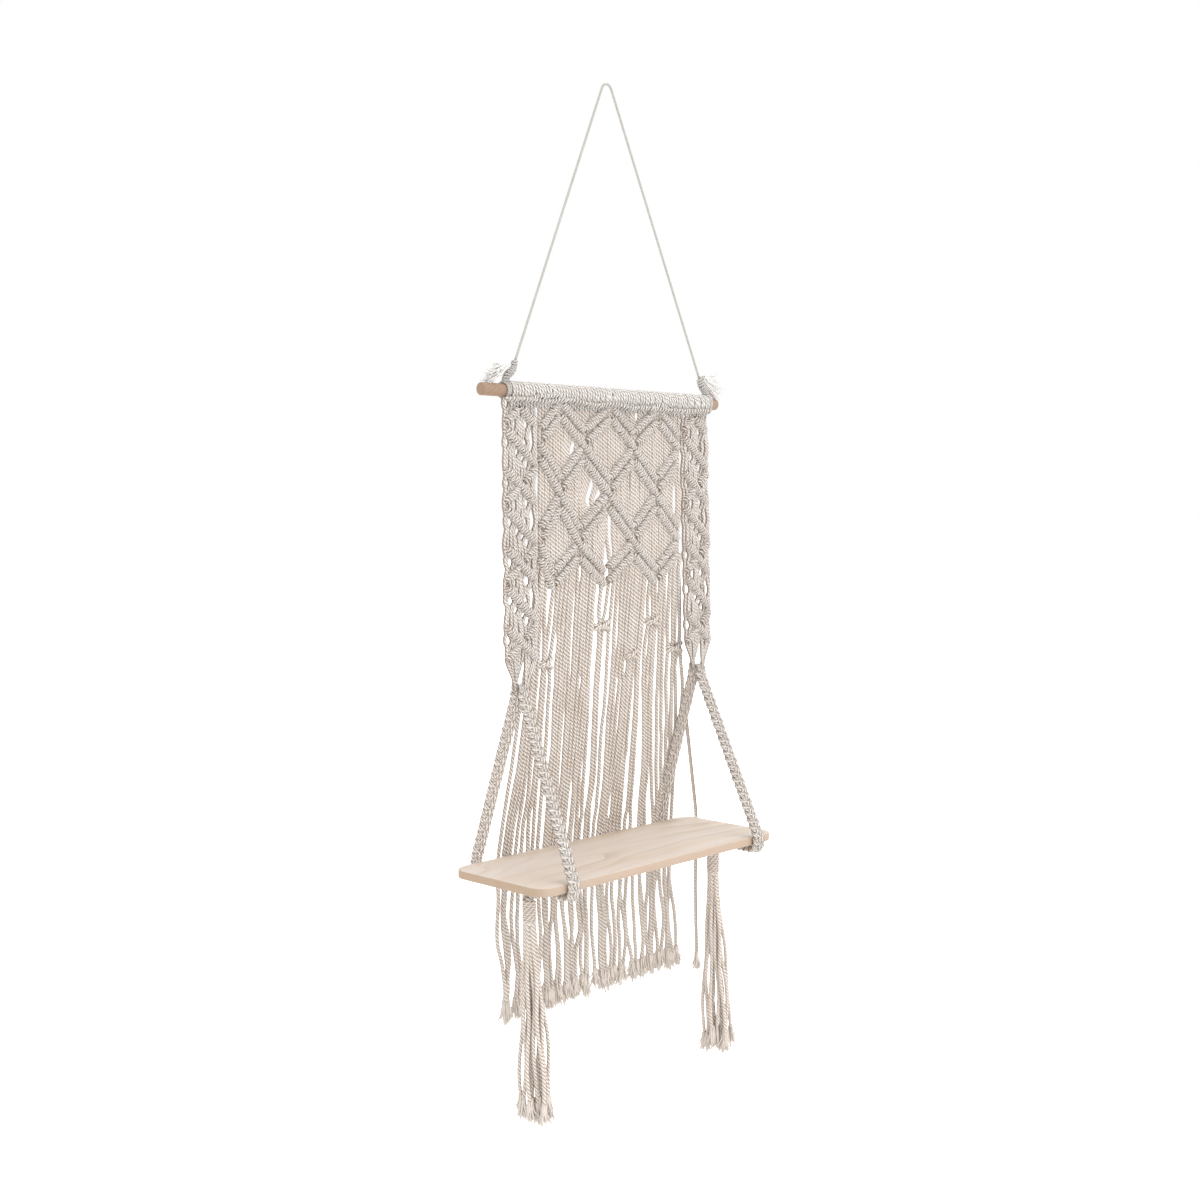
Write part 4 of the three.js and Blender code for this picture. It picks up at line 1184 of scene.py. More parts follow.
@dataclass
class Braid:
    """A plait of six cords in three pairs, from a strap's foot round the board to the tassel.

    side is -1 for a plait in front of the board and 1 for one behind it. A strand swings from
    side to side and back once in a period, by half_width, and in depth by half_depth.
    """

    name: str
    top_x: float
    edge_x: float
    neck_x: float
    side: float
    seed: int
    board_edge: float
    flat_way: tuple[float, float, float] = (*VIEW_RIGHT, 0.0)
    period: float = 28.0
    half_width: float = 4.0
    half_depth: float = 2.4
    cord_radius: float = 2.05
    clear: float = 6.4
    board_top: float = -561.0
    board_bottom: float = -571.0
    neck_y: float = -26.0
    neck_z: float = -592.5
    top_z: float = -344.0

    def route(self) -> Array:
        """The braid's middle line, as the frame's own braid runs.

        Returns:
            Corner points in millimetres.
        """
        edge_y = self.board_edge + self.side * self.clear
        under = self.board_bottom - self.clear
        top_y = self.side * 6.35
        neck_y = self.neck_y + self.side * 4.8
        return np.array([
            [self.top_x, top_y, self.top_z],
            [self.top_x, top_y, -359.4],
            [self.edge_x, edge_y - self.side * 0.3, self.board_top + 3.0],
            [self.edge_x, edge_y + self.side * 0.5, self.board_bottom + 1.0],
            [self.edge_x, edge_y - self.side * 3.0, under + 0.5],
            [mix(self.edge_x, self.neck_x, 0.1), edge_y - self.side * 12.0, under - 0.5],
            [mix(self.edge_x, self.neck_x, 0.8), self.neck_y + self.side * 16.0, under - 1.0],
            [self.neck_x, neck_y, under - 6.0],
            [self.neck_x, neck_y, self.neck_z],
        ])

    def build(self) -> bpy.types.Object:
        """Makes the plait.

        Strand i of three stands at a phase of i thirds of a turn. Along the braid its middle
        moves sideways by a sine of the phase and in depth by a sine of twice the phase, so that
        it passes over one neighbour and under the other. Each strand is two cords side by side.
        The plait narrows at its top and towards the tassel's neck.

        Returns:
            The piece.
        """
        rng = np.random.default_rng(self.seed)
        mesh = CordMesh(self.name, seed=self.seed)
        middle = along_polyline(self.route(), 190)
        reach = reach_along(middle)
        side, up = frames_along(middle[None], np.array(self.flat_way), False)
        depth_way, side_way = side[0], up[0]
        neck = smooth_step((reach - reach[-1] + 40.0) / 40.0)[:, None]
        top = smooth_step(1.0 - reach / 14.0)[:, None]
        shrink = 1.0 - 0.3 * neck - 0.25 * top
        for i in range(3):
            phase = reach / self.period * 2.0 * np.pi + i * 2.0 * np.pi / 3.0
            across = (self.half_width * np.sin(phase))[:, None]
            deep = (self.half_depth * np.sin(2.0 * phase))[:, None]
            strand = middle + shrink * (across * side_way + deep * depth_way)
            run = unit(np.gradient(strand, axis=0))
            beside = unit(np.cross(depth_way, run))
            for half in (-1.0, 1.0):
                jitter = 0.12 * rng.standard_normal()
                cord = strand + shrink * (half * 1.5 + jitter) * beside
                mesh.add(cord, self.cord_radius * shrink[:, 0], reference=depth_way, turn=0.25)
        self.finish(mesh, rng)
        return mesh.build()

    def finish(self, mesh: CordMesh, rng: np.random.Generator) -> None:
        """Adds nothing to a plain braid."""


@dataclass
class BraidWithLooseStrands(Braid):
    """The right back braid, which a loose strand leaves to hang past the board.

    A loose strand is the height of its root, its x and y beside the board, and its end's x and z.
    """

    loose: tuple[tuple[float, float, float, float, float], ...] = (
        (-405.0, 220.5, 38.0, 223.0, -756.0),
    )

    def finish(self, mesh: CordMesh, rng: np.random.Generator) -> None:
        """Adds the loose strands: from a root in the braid past the board's edge to a cut end.

        Args:
            mesh: the braid's mesh.
            rng: the source of small unevenness.
        """
        _, top, edge = self.route()[:3]
        ends = []
        for root_z, board_x, board_y, end_x, end_z in self.loose:
            root = mix(top, edge, (top[2] - root_z) / (top[2] - edge[2]))
            halfway_x = mix(board_x, end_x, 0.5) + 2.0 * rng.standard_normal()
            halfway_z = mix(self.board_bottom, end_z, 0.5)
            corners = np.array([
                root,
                [board_x, board_y, self.board_top + 6.0],
                [board_x, board_y, self.board_bottom - 2.0],
                [halfway_x, board_y, halfway_z],
                [end_x, board_y, end_z],
            ])
            path = along_polyline(corners, 70)
            mesh.add(path, 2.5)
            ends.append(path[-1])
        frayed_ends(mesh, np.array(ends), 17.0, 8.0, rng, fibres=30)


@dataclass
class Tassel:
    """A wrapped neck under the board and the strands that hang from it."""

    name: str
    neck_x: float
    end_x: float
    seed: int
    neck_y: float = -26.0
    top: float = -592.9
    neck_length: float = 31.0
    end: float = -837.0
    strands: int = 12
    turns: float = 8.4
    wrap_reach: float = 6.6
    wrap_radius: float = 1.9
    core_radius: float = 5.2
    golden_angle: float = 2.39996

    def build(self) -> bpy.types.Object:
        """Makes the neck's wrapping, its core and the strands with their frayed ends.

        The wrapping is a helix of cord. A strand leaves the neck near its middle and falls
        towards its own place in a long oval that is broad in the photograph's view, and waves by
        a slow sine. Each place is a golden angle on from the last, and its radius grows with the
        square root of its number, which spreads them evenly.

        Returns:
            The piece.
        """
        rng = np.random.default_rng(self.seed)
        mesh = CordMesh(self.name, seed=self.seed)
        rings = 170
        angle = np.linspace(0.0, self.turns * 2.0 * np.pi, rings)
        foot = self.top - self.neck_length
        helix = np.stack([
            self.neck_x + self.wrap_reach * np.cos(angle),
            self.neck_y + self.wrap_reach * np.sin(angle),
            np.linspace(self.top - 2.2, foot + 1.6, rings),
        ], axis=1)
        mesh.add(helix, self.wrap_radius, reference=AXIS_Z)
        core = np.stack([
            np.full(8, self.neck_x),
            np.full(8, self.neck_y),
            np.linspace(self.top - 0.4, foot - 3.0, 8),
        ], axis=1)
        mesh.add(core, self.core_radius, sides=12)

        number = np.arange(self.strands)
        turn = number * self.golden_angle
        spread = np.sqrt((number + 0.5) / self.strands)
        t = np.linspace(0.0, 1.0, 50)[None, :]
        end = self.end - 12.0 * rng.random(self.strands)
        z = mix(foot + 5.0, end[:, None], t)
        wide = 1.25 * spread * np.cos(turn)
        deep = 0.6 * spread * np.sin(turn)
        right_x, right_y = VIEW_RIGHT
        out_x = (right_x * wide - right_y * deep)[:, None]
        out_y = (right_x * deep + right_y * wide)[:, None]
        opening = mix(5.2, 18.0, smooth_step(1.15 * t) * 0.6 + 0.4 * t)
        drift = mix(0.0, self.end_x - self.neck_x, t**0.9)
        phase = rng.random((self.strands, 1)) * 2.0 * np.pi
        wave = 2.4 * np.minimum(2.0 * t, 1.0) * np.sin(z / 20.0 + phase)
        x = self.neck_x + out_x * opening + drift + wave
        y = self.neck_y + out_y * opening + 1.2 * t * np.sin(z / 29.0 + 2.0 * phase)
        mesh.add(np.stack([x, y, z], axis=-1), CORD_RADIUS + 0.2, turn=0.25)
        ends = np.stack([x[:, -1], y[:, -1], z[:, -1]], axis=-1)
        frayed_ends(mesh, ends, 16.0, 7.5, rng, fibres=36)
        return mesh.build()


@dataclass
class Hanger:
    """The thin cord that carries the rod, with its knots round the rod's ends."""

    diameter: float = 3.0
    bend: float = 9.0
    left: tuple[float, float] = (-156.0, 34.0)
    right: tuple[float, float] = (178.0, 33.0)

    def tangent_angle(self, low: tuple[float, float], centre_z: float, side: float) -> float:
        """The angle on the bend's circle at which a straight leg from a low point touches it.

        Args:
            low: the leg's lower end, as x and z.
            centre_z: the height of the circle's centre.
            side: 1 for the left leg and -1 for the right one.

        Returns:
            The angle from the X axis, in radians.
        """
        dx = low[0]
        dz = low[1] - centre_z
        turn = math.atan2(dz, dx) - side * math.acos(self.bend / math.hypot(dx, dz))
        return turn + 2.0 * math.pi if turn < 0.0 else turn

    def route(self) -> Array:
        """The cord's middle line: two straight legs and a round over the apex.

        Returns:
            Points in millimetres, from left to right.
        """
        centre_z = ROD_DROP + self.diameter / 2.0 - self.bend
        first = self.tangent_angle(self.left, centre_z, 1.0)
        last = self.tangent_angle(self.right, centre_z, -1.0)
        turn = np.linspace(first, last, 13)
        arc_x = self.bend * np.cos(turn)
        arc_z = centre_z + self.bend * np.sin(turn)
        arc = np.stack([arc_x, np.zeros(len(turn)), arc_z], axis=1)
        left = np.array([self.left[0], 0.0, self.left[1]])
        right = np.array([self.right[0], 0.0, self.right[1]])
        share = np.linspace(0.0, 1.0, 40)[:, None]
        return np.concatenate([mix(left, arc[0], share)[:-1], arc, mix(arc[-1], right, share)[1:]])

    def build_cord(self) -> bpy.types.Object:
        """Returns:
            The piece.
        """
        route = self.route()
        mesh = CordMesh("hanging_cord_twisted", seed=31)
        mesh.add(route, self.diameter / 2.0, sides=10)
        made = mesh.build()
        return made


@dataclass
class HangerKnot:
    """Two turns of the hanging cord round the rod, its coiled knot above and its frayed tails.

    coil is the knot's middle line and tails are the tips of its tails, both as x and z.
    """

    name: str
    ring_x: float
    coil: tuple[tuple[float, float], ...]
    tails: tuple[tuple[float, float], ...]
    seed: int
    ring_radius: float = 9.3
    cord_radius: float = 1.7
    coil_pitch: float = 3.5
    tail_share: float = 0.4
    tail_rise: float = 6.0
    tail_fibres: int = 64

    def build(self) -> bpy.types.Object:
        """Makes the turns, the coil and the tails.

        The turns are circles round the rod. The coil is a helix about the knot's own line. A
        tail is a short cord that arches over the first share of its way, and fibres that run on
        from it and open towards the tip.

        Returns:
            The piece.
        """
        rng = np.random.default_rng(self.seed)
        mesh = CordMesh(self.name, seed=self.seed)
        angle = round_angles(28)
        for shift in (-2.0, 1.4):
            ring = np.stack([
                self.ring_x + shift + 0.8 * np.sin(angle + shift),
                self.ring_radius * np.sin(angle),
                self.ring_radius * np.cos(angle),
            ], axis=1)
            mesh.add(ring, self.cord_radius, closed=True, reference=AXIS_X)
        line = along_polyline(np.array([[x, 0.0, z] for x, z in self.coil]), 90)
        reach = reach_along(line)
        side, up = frames_along(line[None], AXIS_Y, False)
        turn = (reach / self.coil_pitch * 2.0 * np.pi)[:, None]
        wide = (2.7 + 1.1 * np.sin(reach / reach[-1] * np.pi))[:, None]
        coil = line + wide * (np.cos(turn) * side[0] + np.sin(turn) * up[0])
        tangent = unit(np.gradient(line, axis=0))
        mesh.add(coil, 1.6, reference=tangent)
        mesh.add(line, 2.0)
        root = np.array([self.coil[2][0], 0.0, self.coil[2][1]])
        for x, z in self.tails:
            tip = np.array([x, 5.0 * (rng.random() - 0.5), z])
            length = float(np.linalg.norm(tip - root))
            share = np.linspace(0.0, self.tail_share, 8)[:, None]
            stub = mix(root, tip, share) + self.tail_rise * np.sin(np.pi * share) * AXIS_Z
            mesh.add(stub, np.linspace(self.cord_radius, 2.2, len(stub)))
            way = unit(tip - stub[-1])
            frayed_ends(mesh, stub[-1:], 0.66 * length, 4.2, rng, self.tail_fibres, way)
        return mesh.build()


def ring_body(name: str, rings: Array) -> bpy.types.Object:
    """A closed body through rings of points, with a fan of triangles over each end.

    Args:
        name: the piece's name.
        rings: points in millimetres, shaped rings x points x 3, turning to the right about the
            way from the first ring to the last.

    Returns:
        The object, with sharp edges where it turns by more than 40 degrees.
    """
    count, sides, _ = rings.shape
    k, j = np.meshgrid(np.arange(count - 1), np.arange(sides), indexing="ij")
    next_j = (j + 1) % sides
    quads = np.stack([
        k * sides + j, k * sides + next_j, (k + 1) * sides + next_j, (k + 1) * sides + j,
    ], axis=-1).reshape(-1, 4)
    middles = rings[[0, -1]].mean(axis=1)
    hub = count * sides
    rim = np.arange(sides)
    around = (rim + 1) % sides
    last = (count - 1) * sides
    first_fan = np.stack([np.full(sides, hub), around, rim, rim], axis=-1)
    last_fan = np.stack([np.full(sides, hub + 1), last + rim, last + around, last + around], axis=-1)
    points = np.concatenate([rings.reshape(-1, 3), middles])
    faces = np.concatenate([quads, first_fan, last_fan])
    uvs = points[faces][..., :2] / UV_LENGTH
    made = mesh_object(name, points, faces, uvs)
    made.data.set_sharp_from_angle(angle=math.radians(40.0))
    return made


@dataclass
class Rod:
    """The turned wooden rod, with slightly eased ends."""

    length: float = 420.0
    radius: float = 7.5
    sides: int = 56

    def build(self) -> bpy.types.Object:
        """Makes rings along X, whose radius is eased over the last 0.8 mm at each end.

        Returns:
            The piece.
        """
        half = self.length / 2.0
        inset = np.array([0.0, 0.0, 0.4, 0.8, half])
        share = np.array([0.5, 0.93, 0.985, 1.0, 1.0])
        at_x = np.concatenate([inset - half, half - inset[-2::-1]])
        share = np.concatenate([share, share[-2::-1]])
        angle = np.arange(self.sides) / self.sides * 2.0 * np.pi
        radius = (self.radius * share)[:, None]
        rings = np.stack([
            np.broadcast_to(at_x[:, None], (len(at_x), self.sides)),
            radius * np.cos(angle),
            radius * np.sin(angle),
        ], axis=-1)
        return ring_body("rod_turned", rings)


@dataclass
class Board:
    """The pine board with round corners and eased edges."""

    half_length: float = 215.0
    front: float = -103.5
    back: float = 51.4
    top: float = -561.0
    thickness: float = 10.0
    corner: float = 22.0
    ease: float = 1.1
    fan_inset: float = 18.0

    def outline(self, inset: float) -> Array:
        """The board's outline moved inwards, clockwise from above, as x and y.

        Each corner is a quarter circle whose radius is the corner's less the inset.

        Args:
            inset: how far inwards, in millimetres.

        Returns:
            An array of x, y rows.
        """
        radius = max(self.corner - inset, 0.5)
        x = self.half_length - inset - radius
        front = self.front + inset + radius
        back = self.back - inset - radius
        turn = np.linspace(0.0, 0.5 * np.pi, 13)
        centres = ((x, back, 0.5), (x, front, 0.0), (-x, front, -0.5), (-x, back, -1.0))
        parts = []
        for centre_x, centre_y, start in centres:
            angle = start * np.pi - turn
            corner_x = centre_x + radius * np.cos(angle)
            corner_y = centre_y + radius * np.sin(angle)
            parts.append(np.stack([corner_x, corner_y], axis=1))
        return np.concatenate(parts)

    def build(self) -> bpy.types.Object:
        """Makes the rings from the top's inside over the eased edges to the underside.

        Returns:
            The piece.
        """
        turn = np.linspace(0.0, 0.5 * np.pi, 5)
        inset = self.ease * (1.0 - np.sin(turn))
        drop = self.ease * (1.0 - np.cos(turn))
        insets = np.concatenate([[self.fan_inset], inset, inset[::-1], [self.fan_inset]])
        heights = np.concatenate([[0.0], -drop, drop[::-1] - self.thickness, [-self.thickness]])
        rings = []
        for ring_inset, height in zip(insets, heights):
            flat = self.outline(float(ring_inset))
            rings.append(np.column_stack([flat, np.full(len(flat), self.top + height)]))
        return ring_body("board_pine", np.array(rings))


def linear(red: float, green: float, blue: float) -> tuple[float, float, float, float]:
    """A colour as the screen shows it, turned into the linear one that a shader takes.

    Args:
        red, green, blue: the colour's parts, from 0 to 255.

    Returns:
        The linear colour, with full alpha.
    """
    share = np.array([red, green, blue]) / 255.0
    lit = np.where(share <= 0.04045, share / 12.92, ((share + 0.055) / 1.055) ** 2.4)
    return (float(lit[0]), float(lit[1]), float(lit[2]), 1.0)


class Nodes:
    """A small helper that places nodes in a node tree and joins their sockets."""

    def __init__(self, tree: bpy.types.NodeTree) -> None:
        """Keeps the tree that the nodes go into."""
        self.tree = tree

    def add(self, kind: str, **settings: object) -> bpy.types.Node:
        """Adds a node and sets its properties.

        Args:
            kind: the node's type name.
            settings: its properties by name.

        Returns:
            The node.
        """
        node = self.tree.nodes.new(kind)
        for name, value in settings.items():
            setattr(node, name, value)
        return node

    def link(self, source: bpy.types.NodeSocket, target: bpy.types.NodeSocket) -> None:
        """Joins an output to an input."""
        self.tree.links.new(source, target)

    def feed(
        self, value: bpy.types.NodeSocket | float | tuple[float, ...], target: bpy.types.NodeSocket
    ) -> None:
        """Joins a socket to an input, or sets the input to a number or a colour."""
        if isinstance(value, bpy.types.NodeSocket):
            self.link(value, target)
        else:
            target.default_value = value

    def vector(self, *parts: bpy.types.NodeSocket) -> bpy.types.NodeSocket:
        """Adds a node that makes one vector.

        Args:
            parts: up to three values, for x, y and z.

        Returns:
            The vector.
        """
        node = self.add("ShaderNodeCombineXYZ")
        for place, part in enumerate(parts):
            self.link(part, node.inputs[place])
        return node.outputs[0]

    def noise(
        self, at: bpy.types.NodeSocket, detail: float, scale: bpy.types.NodeSocket | float = 1.0
    ) -> bpy.types.NodeSocket:
        """Adds a noise.

        Args:
            at: the vector at which it is read.
            detail: how many finer layers it has.
            scale: how fine it is.

        Returns:
            Its value.
        """
        node = self.add("ShaderNodeTexNoise")
        node.inputs["Detail"].default_value = detail
        self.link(at, node.inputs["Vector"])
        self.feed(scale, node.inputs["Scale"])
        return node.outputs["Fac"]

    def math(self, operation: str, *inputs: bpy.types.NodeSocket | float) -> bpy.types.NodeSocket:
        """Adds a Math node, and returns its output.

        Args:
            operation: the node's operation.
            inputs: sockets to join, or numbers to set.

        Returns:
            The node's value.
        """
        node = self.add("ShaderNodeMath", operation=operation)
        for place, value in enumerate(inputs):
            self.feed(value, node.inputs[place])
        return node.outputs[0]

    def mix_colour(
        self,
        share: bpy.types.NodeSocket,
        first: bpy.types.NodeSocket | tuple[float, ...],
        second: bpy.types.NodeSocket | tuple[float, ...],
    ) -> bpy.types.NodeSocket:
        """Adds a Mix node for colours, and returns its output.

        Args:
            share: how much of the second colour shows.
            first: the first colour, or its socket.
            second: the second colour, or its socket.

        Returns:
            The mixed colour.
        """
        node = self.add("ShaderNodeMix", data_type="RGBA", blend_type="MIX")
        self.link(share, node.inputs["Factor"])
        colours = [socket for socket in node.inputs if socket.type == "RGBA"]
        for socket, value in zip(colours, (first, second)):
            self.feed(value, socket)
        return next(socket for socket in node.outputs if socket.type == "RGBA")

    def span(
        self,
        value: bpy.types.NodeSocket,
        low: float,
        high: float,
        to_low: float = 0.0,
        to_high: float = 1.0,
    ) -> bpy.types.NodeSocket:
        """Turns one span of values into another, eased and held at both ends.

        Args:
            value: the value to turn.
            low: where the first span starts.
            high: where it ends.
            to_low: where the other span starts.
            to_high: where it ends.

        Returns:
            The new value.
        """
        node = self.add("ShaderNodeMapRange", interpolation_type="SMOOTHSTEP")
        self.link(value, node.inputs["Value"])
        node.inputs["From Min"].default_value = low
        node.inputs["From Max"].default_value = high
        node.inputs["To Min"].default_value = to_low
        node.inputs["To Max"].default_value = to_high
        return node.outputs["Result"]


def new_group(
    name: str, inputs: tuple[tuple[str, str, float], ...], outputs: tuple[str, ...]
) -> tuple[bpy.types.NodeTree, Nodes, bpy.types.Node, bpy.types.Node]:
    """A shader node group with named sockets.

    Args:
        name: the group's name.
        inputs: name, socket type and default of each input.
        outputs: the names of its outputs, which are all numbers.

    Returns:
        The group, its helper, and its input and output nodes.
    """
    group = bpy.data.node_groups.new(name, "ShaderNodeTree")
    for label, kind, default in inputs:
        socket = group.interface.new_socket(label, in_out="INPUT", socket_type=kind)
        if kind == "NodeSocketFloat":
            socket.default_value = default
    for label in outputs:
        group.interface.new_socket(label, in_out="OUTPUT", socket_type="NodeSocketFloat")
    nodes = Nodes(group)
    return group, nodes, nodes.add("NodeGroupInput"), nodes.add("NodeGroupOutput")


def cord_lay_group() -> bpy.types.NodeTree:
    """The twist of a cord's plies, and the fine fibres on them.

    The plies' phase is their number times U, plus the lay times V. A ply's height is the sine of
    half a turn of the phase's fraction, so that plies are round and the valleys between them are
    sharp. Valley marks those valleys, where the finish paints shade. The fibres are a noise drawn
    out along the plies. A contact is where the cord touches its neighbours, where the finish paints
    shade too: the size of the sine of U's turn near one. Loose is 1 where U is over five.

    Returns:
        The group, with the outputs Height, Valley, Fibre, Contact and Loose.
    """
    group, nodes, start, end = new_group(
        "cord_lay",
        (
            ("UV", "NodeSocketVector", 0.0),
            ("Plies", "NodeSocketFloat", 3.0),
            ("Lay", "NodeSocketFloat", 2.4),
        ),
        ("Height", "Valley", "Fibre", "Contact", "Loose"),
    )
    split = nodes.add("ShaderNodeSeparateXYZ")
    nodes.link(start.outputs["UV"], split.inputs[0])
    around, along = split.outputs[0], split.outputs[1]
    turned = nodes.math("MULTIPLY", around, start.outputs["Plies"])
    advanced = nodes.math("MULTIPLY", along, start.outputs["Lay"])
    phase = nodes.math("ADD", turned, advanced)
    fraction = nodes.math("FRACT", phase)
    height = nodes.math("SINE", nodes.math("MULTIPLY", fraction, math.pi))
    # Valley and Contact only steer painted shade: the valleys between the plies and the sides against the
    # neighbouring cords.
    valley_shade = nodes.span(height, 0.78, 0.1)
    turn = nodes.math("MULTIPLY", around, 2.0 * math.pi)
    contact = nodes.span(nodes.math("ABSOLUTE", nodes.math("SINE", turn)), 0.6, 1.0)

    drawn = nodes.vector(nodes.math("MULTIPLY", phase, 9.0), nodes.math("MULTIPLY", along, 2.2))
    nodes.link(height, end.inputs["Height"])
    nodes.link(valley_shade, end.inputs["Valley"])
    nodes.link(nodes.noise(drawn, 3.0), end.inputs["Fibre"])
    nodes.link(contact, end.inputs["Contact"])
    nodes.link(nodes.math("GREATER_THAN", around, 5.0), end.inputs["Loose"])
    return group


def mottle_group() -> bpy.types.NodeTree:
    """Slow unevenness of tone over a piece, from two noises of different size.

    Returns:
        The group, with the output Tone from 0 to 1.
    """
    group, nodes, start, end = new_group(
        "slow_mottle",
        (("Vector", "NodeSocketVector", 0.0), ("Scale", "NodeSocketFloat", 30.0)),
        ("Tone",),
    )
    tones = []
    for factor, detail in ((1.0, 2.0), (5.3, 3.0)):
        scale = nodes.math("MULTIPLY", start.outputs["Scale"], factor)
        tones.append(nodes.noise(start.outputs["Vector"], detail, scale))
    both = nodes.math("MULTIPLY", nodes.math("ADD", *tones), 0.5)
    nodes.link(nodes.span(both, 0.3, 0.7), end.inputs["Tone"])
    return group


# The year rings' slope in Z, and the middle and the rise of the arches that they draw along X.
RING_SLOPE = 0.7
ARCH_MIDDLE = 0.09
ARCH_RISE = 0.9


def grain_group() -> bpy.types.NodeTree:
    """Wood grain along X: year rings that arch and wander, and fine pores drawn out along X.

    A ring lies where one sum is the same all along it: Y, the slope times Z, a slow noise, and
    the rise times the square of X less the arches' middle, all in metres. So the rings draw wide
    arches on the board's top. They are fainter where the slow noise is low.

    Returns:
        The group, with the outputs Rings, Pores and Streak.
    """
    group, nodes, start, end = new_group(
        "wood_grain",
        (
            ("Vector", "NodeSocketVector", 0.0),
            ("Rings", "NodeSocketFloat", 60.0),
            ("Bend", "NodeSocketFloat", 0.05),
        ),
        ("Rings", "Pores", "Streak"),
    )
    split = nodes.add("ShaderNodeSeparateXYZ")
    nodes.link(start.outputs["Vector"], split.inputs[0])
    x, y, z = split.outputs[:3]
    drawn = [nodes.math("MULTIPLY", part, scale) for part, scale in ((x, 2.2), (y, 9.0), (z, 9.0))]
    slow = nodes.noise(nodes.vector(*drawn), 2.0, 1.6)
    shift = nodes.math("MULTIPLY", nodes.math("SUBTRACT", slow, 0.5), start.outputs["Bend"])
    off = nodes.math("SUBTRACT", x, ARCH_MIDDLE)
    arch = nodes.math("MULTIPLY", nodes.math("MULTIPLY", off, off), ARCH_RISE)
    slanted = nodes.math("ADD", y, nodes.math("MULTIPLY", z, RING_SLOPE))
    across = nodes.math("ADD", nodes.math("ADD", slanted, shift), arch)
    ring = nodes.math("FRACT", nodes.math("MULTIPLY", across, start.outputs["Rings"]))
    uneven = nodes.span(slow, 0.38, 0.62, 0.25, 1.0)
    nodes.link(nodes.math("MULTIPLY", nodes.math("POWER", ring, 2.6), uneven), end.inputs["Rings"])

    for label, scales, low, high in (
        ("Pores", (14.0, 900.0, 900.0), 0.55, 0.75),
        ("Streak", (3.0, 60.0, 60.0), 0.35, 0.75),
    ):
        drawn = [nodes.math("MULTIPLY", part, scale) for part, scale in zip((x, y, z), scales)]
        fine = nodes.noise(nodes.vector(*drawn), 3.0)
        nodes.link(nodes.span(fine, low, high), end.inputs[label])
    return group


class Shared:
    """The node groups that the materials share."""

    def __init__(self) -> None:
        """Builds each group once."""
        self.lay = cord_lay_group()
        self.mottle = mottle_group()
        self.grain = grain_group()


def new_material(name: str) -> tuple[bpy.types.Material, Nodes, bpy.types.Node]:
    """A material with one Principled shader.

    Args:
        name: the material's name.

    Returns:
        The material, its helper and the shader.
    """
    material = bpy.data.materials.new(name)
    material.use_nodes = True
    nodes = Nodes(material.node_tree)
    shader = next(n for n in material.node_tree.nodes if n.type == "BSDF_PRINCIPLED")
    return material, nodes, shader


@dataclass(frozen=True)
class CottonFinish:
    """Twisted cotton cord: round plies, painted shade in the valleys between them and fine fibres.

    lit and warm are the two tones that mottle it. The shares say how much painted shade, in the
    dark shade colour, shows between the plies and where the cord touches its neighbours; the same
    colour flecks the fibres. lay is how many plies cross one step of V, and depth is the plies'
    height in metres.
    """

    name: str
    lit: Colour
    warm: Colour
    # Painted shade: how much of the dark shade colour darkens the sides that touch the neighbours and the
    # valleys between the plies. The same colour flecks the fibres.
    contact_shade_share: float
    valley_shade_share: float = 0.6
    valley_shade: Colour = (152.0, 124.0, 102.0)
    frayed: Colour = (226.0, 217.0, 209.0)
    lay: float = 2.05
    depth: float = 0.0018
    roughness: float = 0.92

    def material(self, shared: Shared) -> bpy.types.Material:
        """Makes the material: mottled tone, then painted shade in the valleys and contacts, then the
        plies as bump.

        Args:
            shared: the node groups.

        Returns:
            The material.
        """
        made, nodes, shader = new_material(self.name)
        uv = nodes.add("ShaderNodeUVMap", uv_map="CordUV")
        lay = nodes.add("ShaderNodeGroup", node_tree=shared.lay)
        lay.inputs["Lay"].default_value = self.lay
        nodes.link(uv.outputs[0], lay.inputs["UV"])
        place = nodes.add("ShaderNodeTexCoord")
        mottle = nodes.add("ShaderNodeGroup", node_tree=shared.mottle)
        mottle.inputs["Scale"].default_value = 28.0
        nodes.link(place.outputs["Object"], mottle.inputs["Vector"])

        tone = nodes.mix_colour(mottle.outputs["Tone"], linear(*self.lit), linear(*self.warm))
        # Painted shade: the valleys between the plies, then the sides that touch the neighbouring cords.
        share = nodes.math("MULTIPLY", lay.outputs["Valley"], self.valley_shade_share)
        colour = nodes.mix_colour(share, tone, linear(*self.valley_shade))
        share = nodes.math("MULTIPLY", lay.outputs["Contact"], self.contact_shade_share)
        colour = nodes.mix_colour(share, colour, linear(*self.valley_shade))
        # Fibre flecks in the same dark colour, the cotton's own uneven tone.
        fibre = nodes.span(lay.outputs["Fibre"], 0.35, 0.75, 0.0, 0.22)
        colour = nodes.mix_colour(fibre, colour, linear(*self.valley_shade))
        share = nodes.math("MULTIPLY", lay.outputs["Loose"], 0.85)
        colour = nodes.mix_colour(share, colour, linear(*self.frayed))
        nodes.link(colour, shader.inputs["Base Color"])
        shader.inputs["Roughness"].default_value = self.roughness
        shader.inputs["Specular IOR Level"].default_value = 0.2

        relief = nodes.math("MULTIPLY", lay.outputs["Fibre"], 0.35)
        height = nodes.math("ADD", lay.outputs["Height"], relief)
        bump = nodes.add("ShaderNodeBump")
        bump.inputs["Strength"].default_value = 0.9
        bump.inputs["Distance"].default_value = self.depth
        nodes.link(height, bump.inputs["Height"])
        nodes.link(bump.outputs[0], shader.inputs["Normal"])
        return made


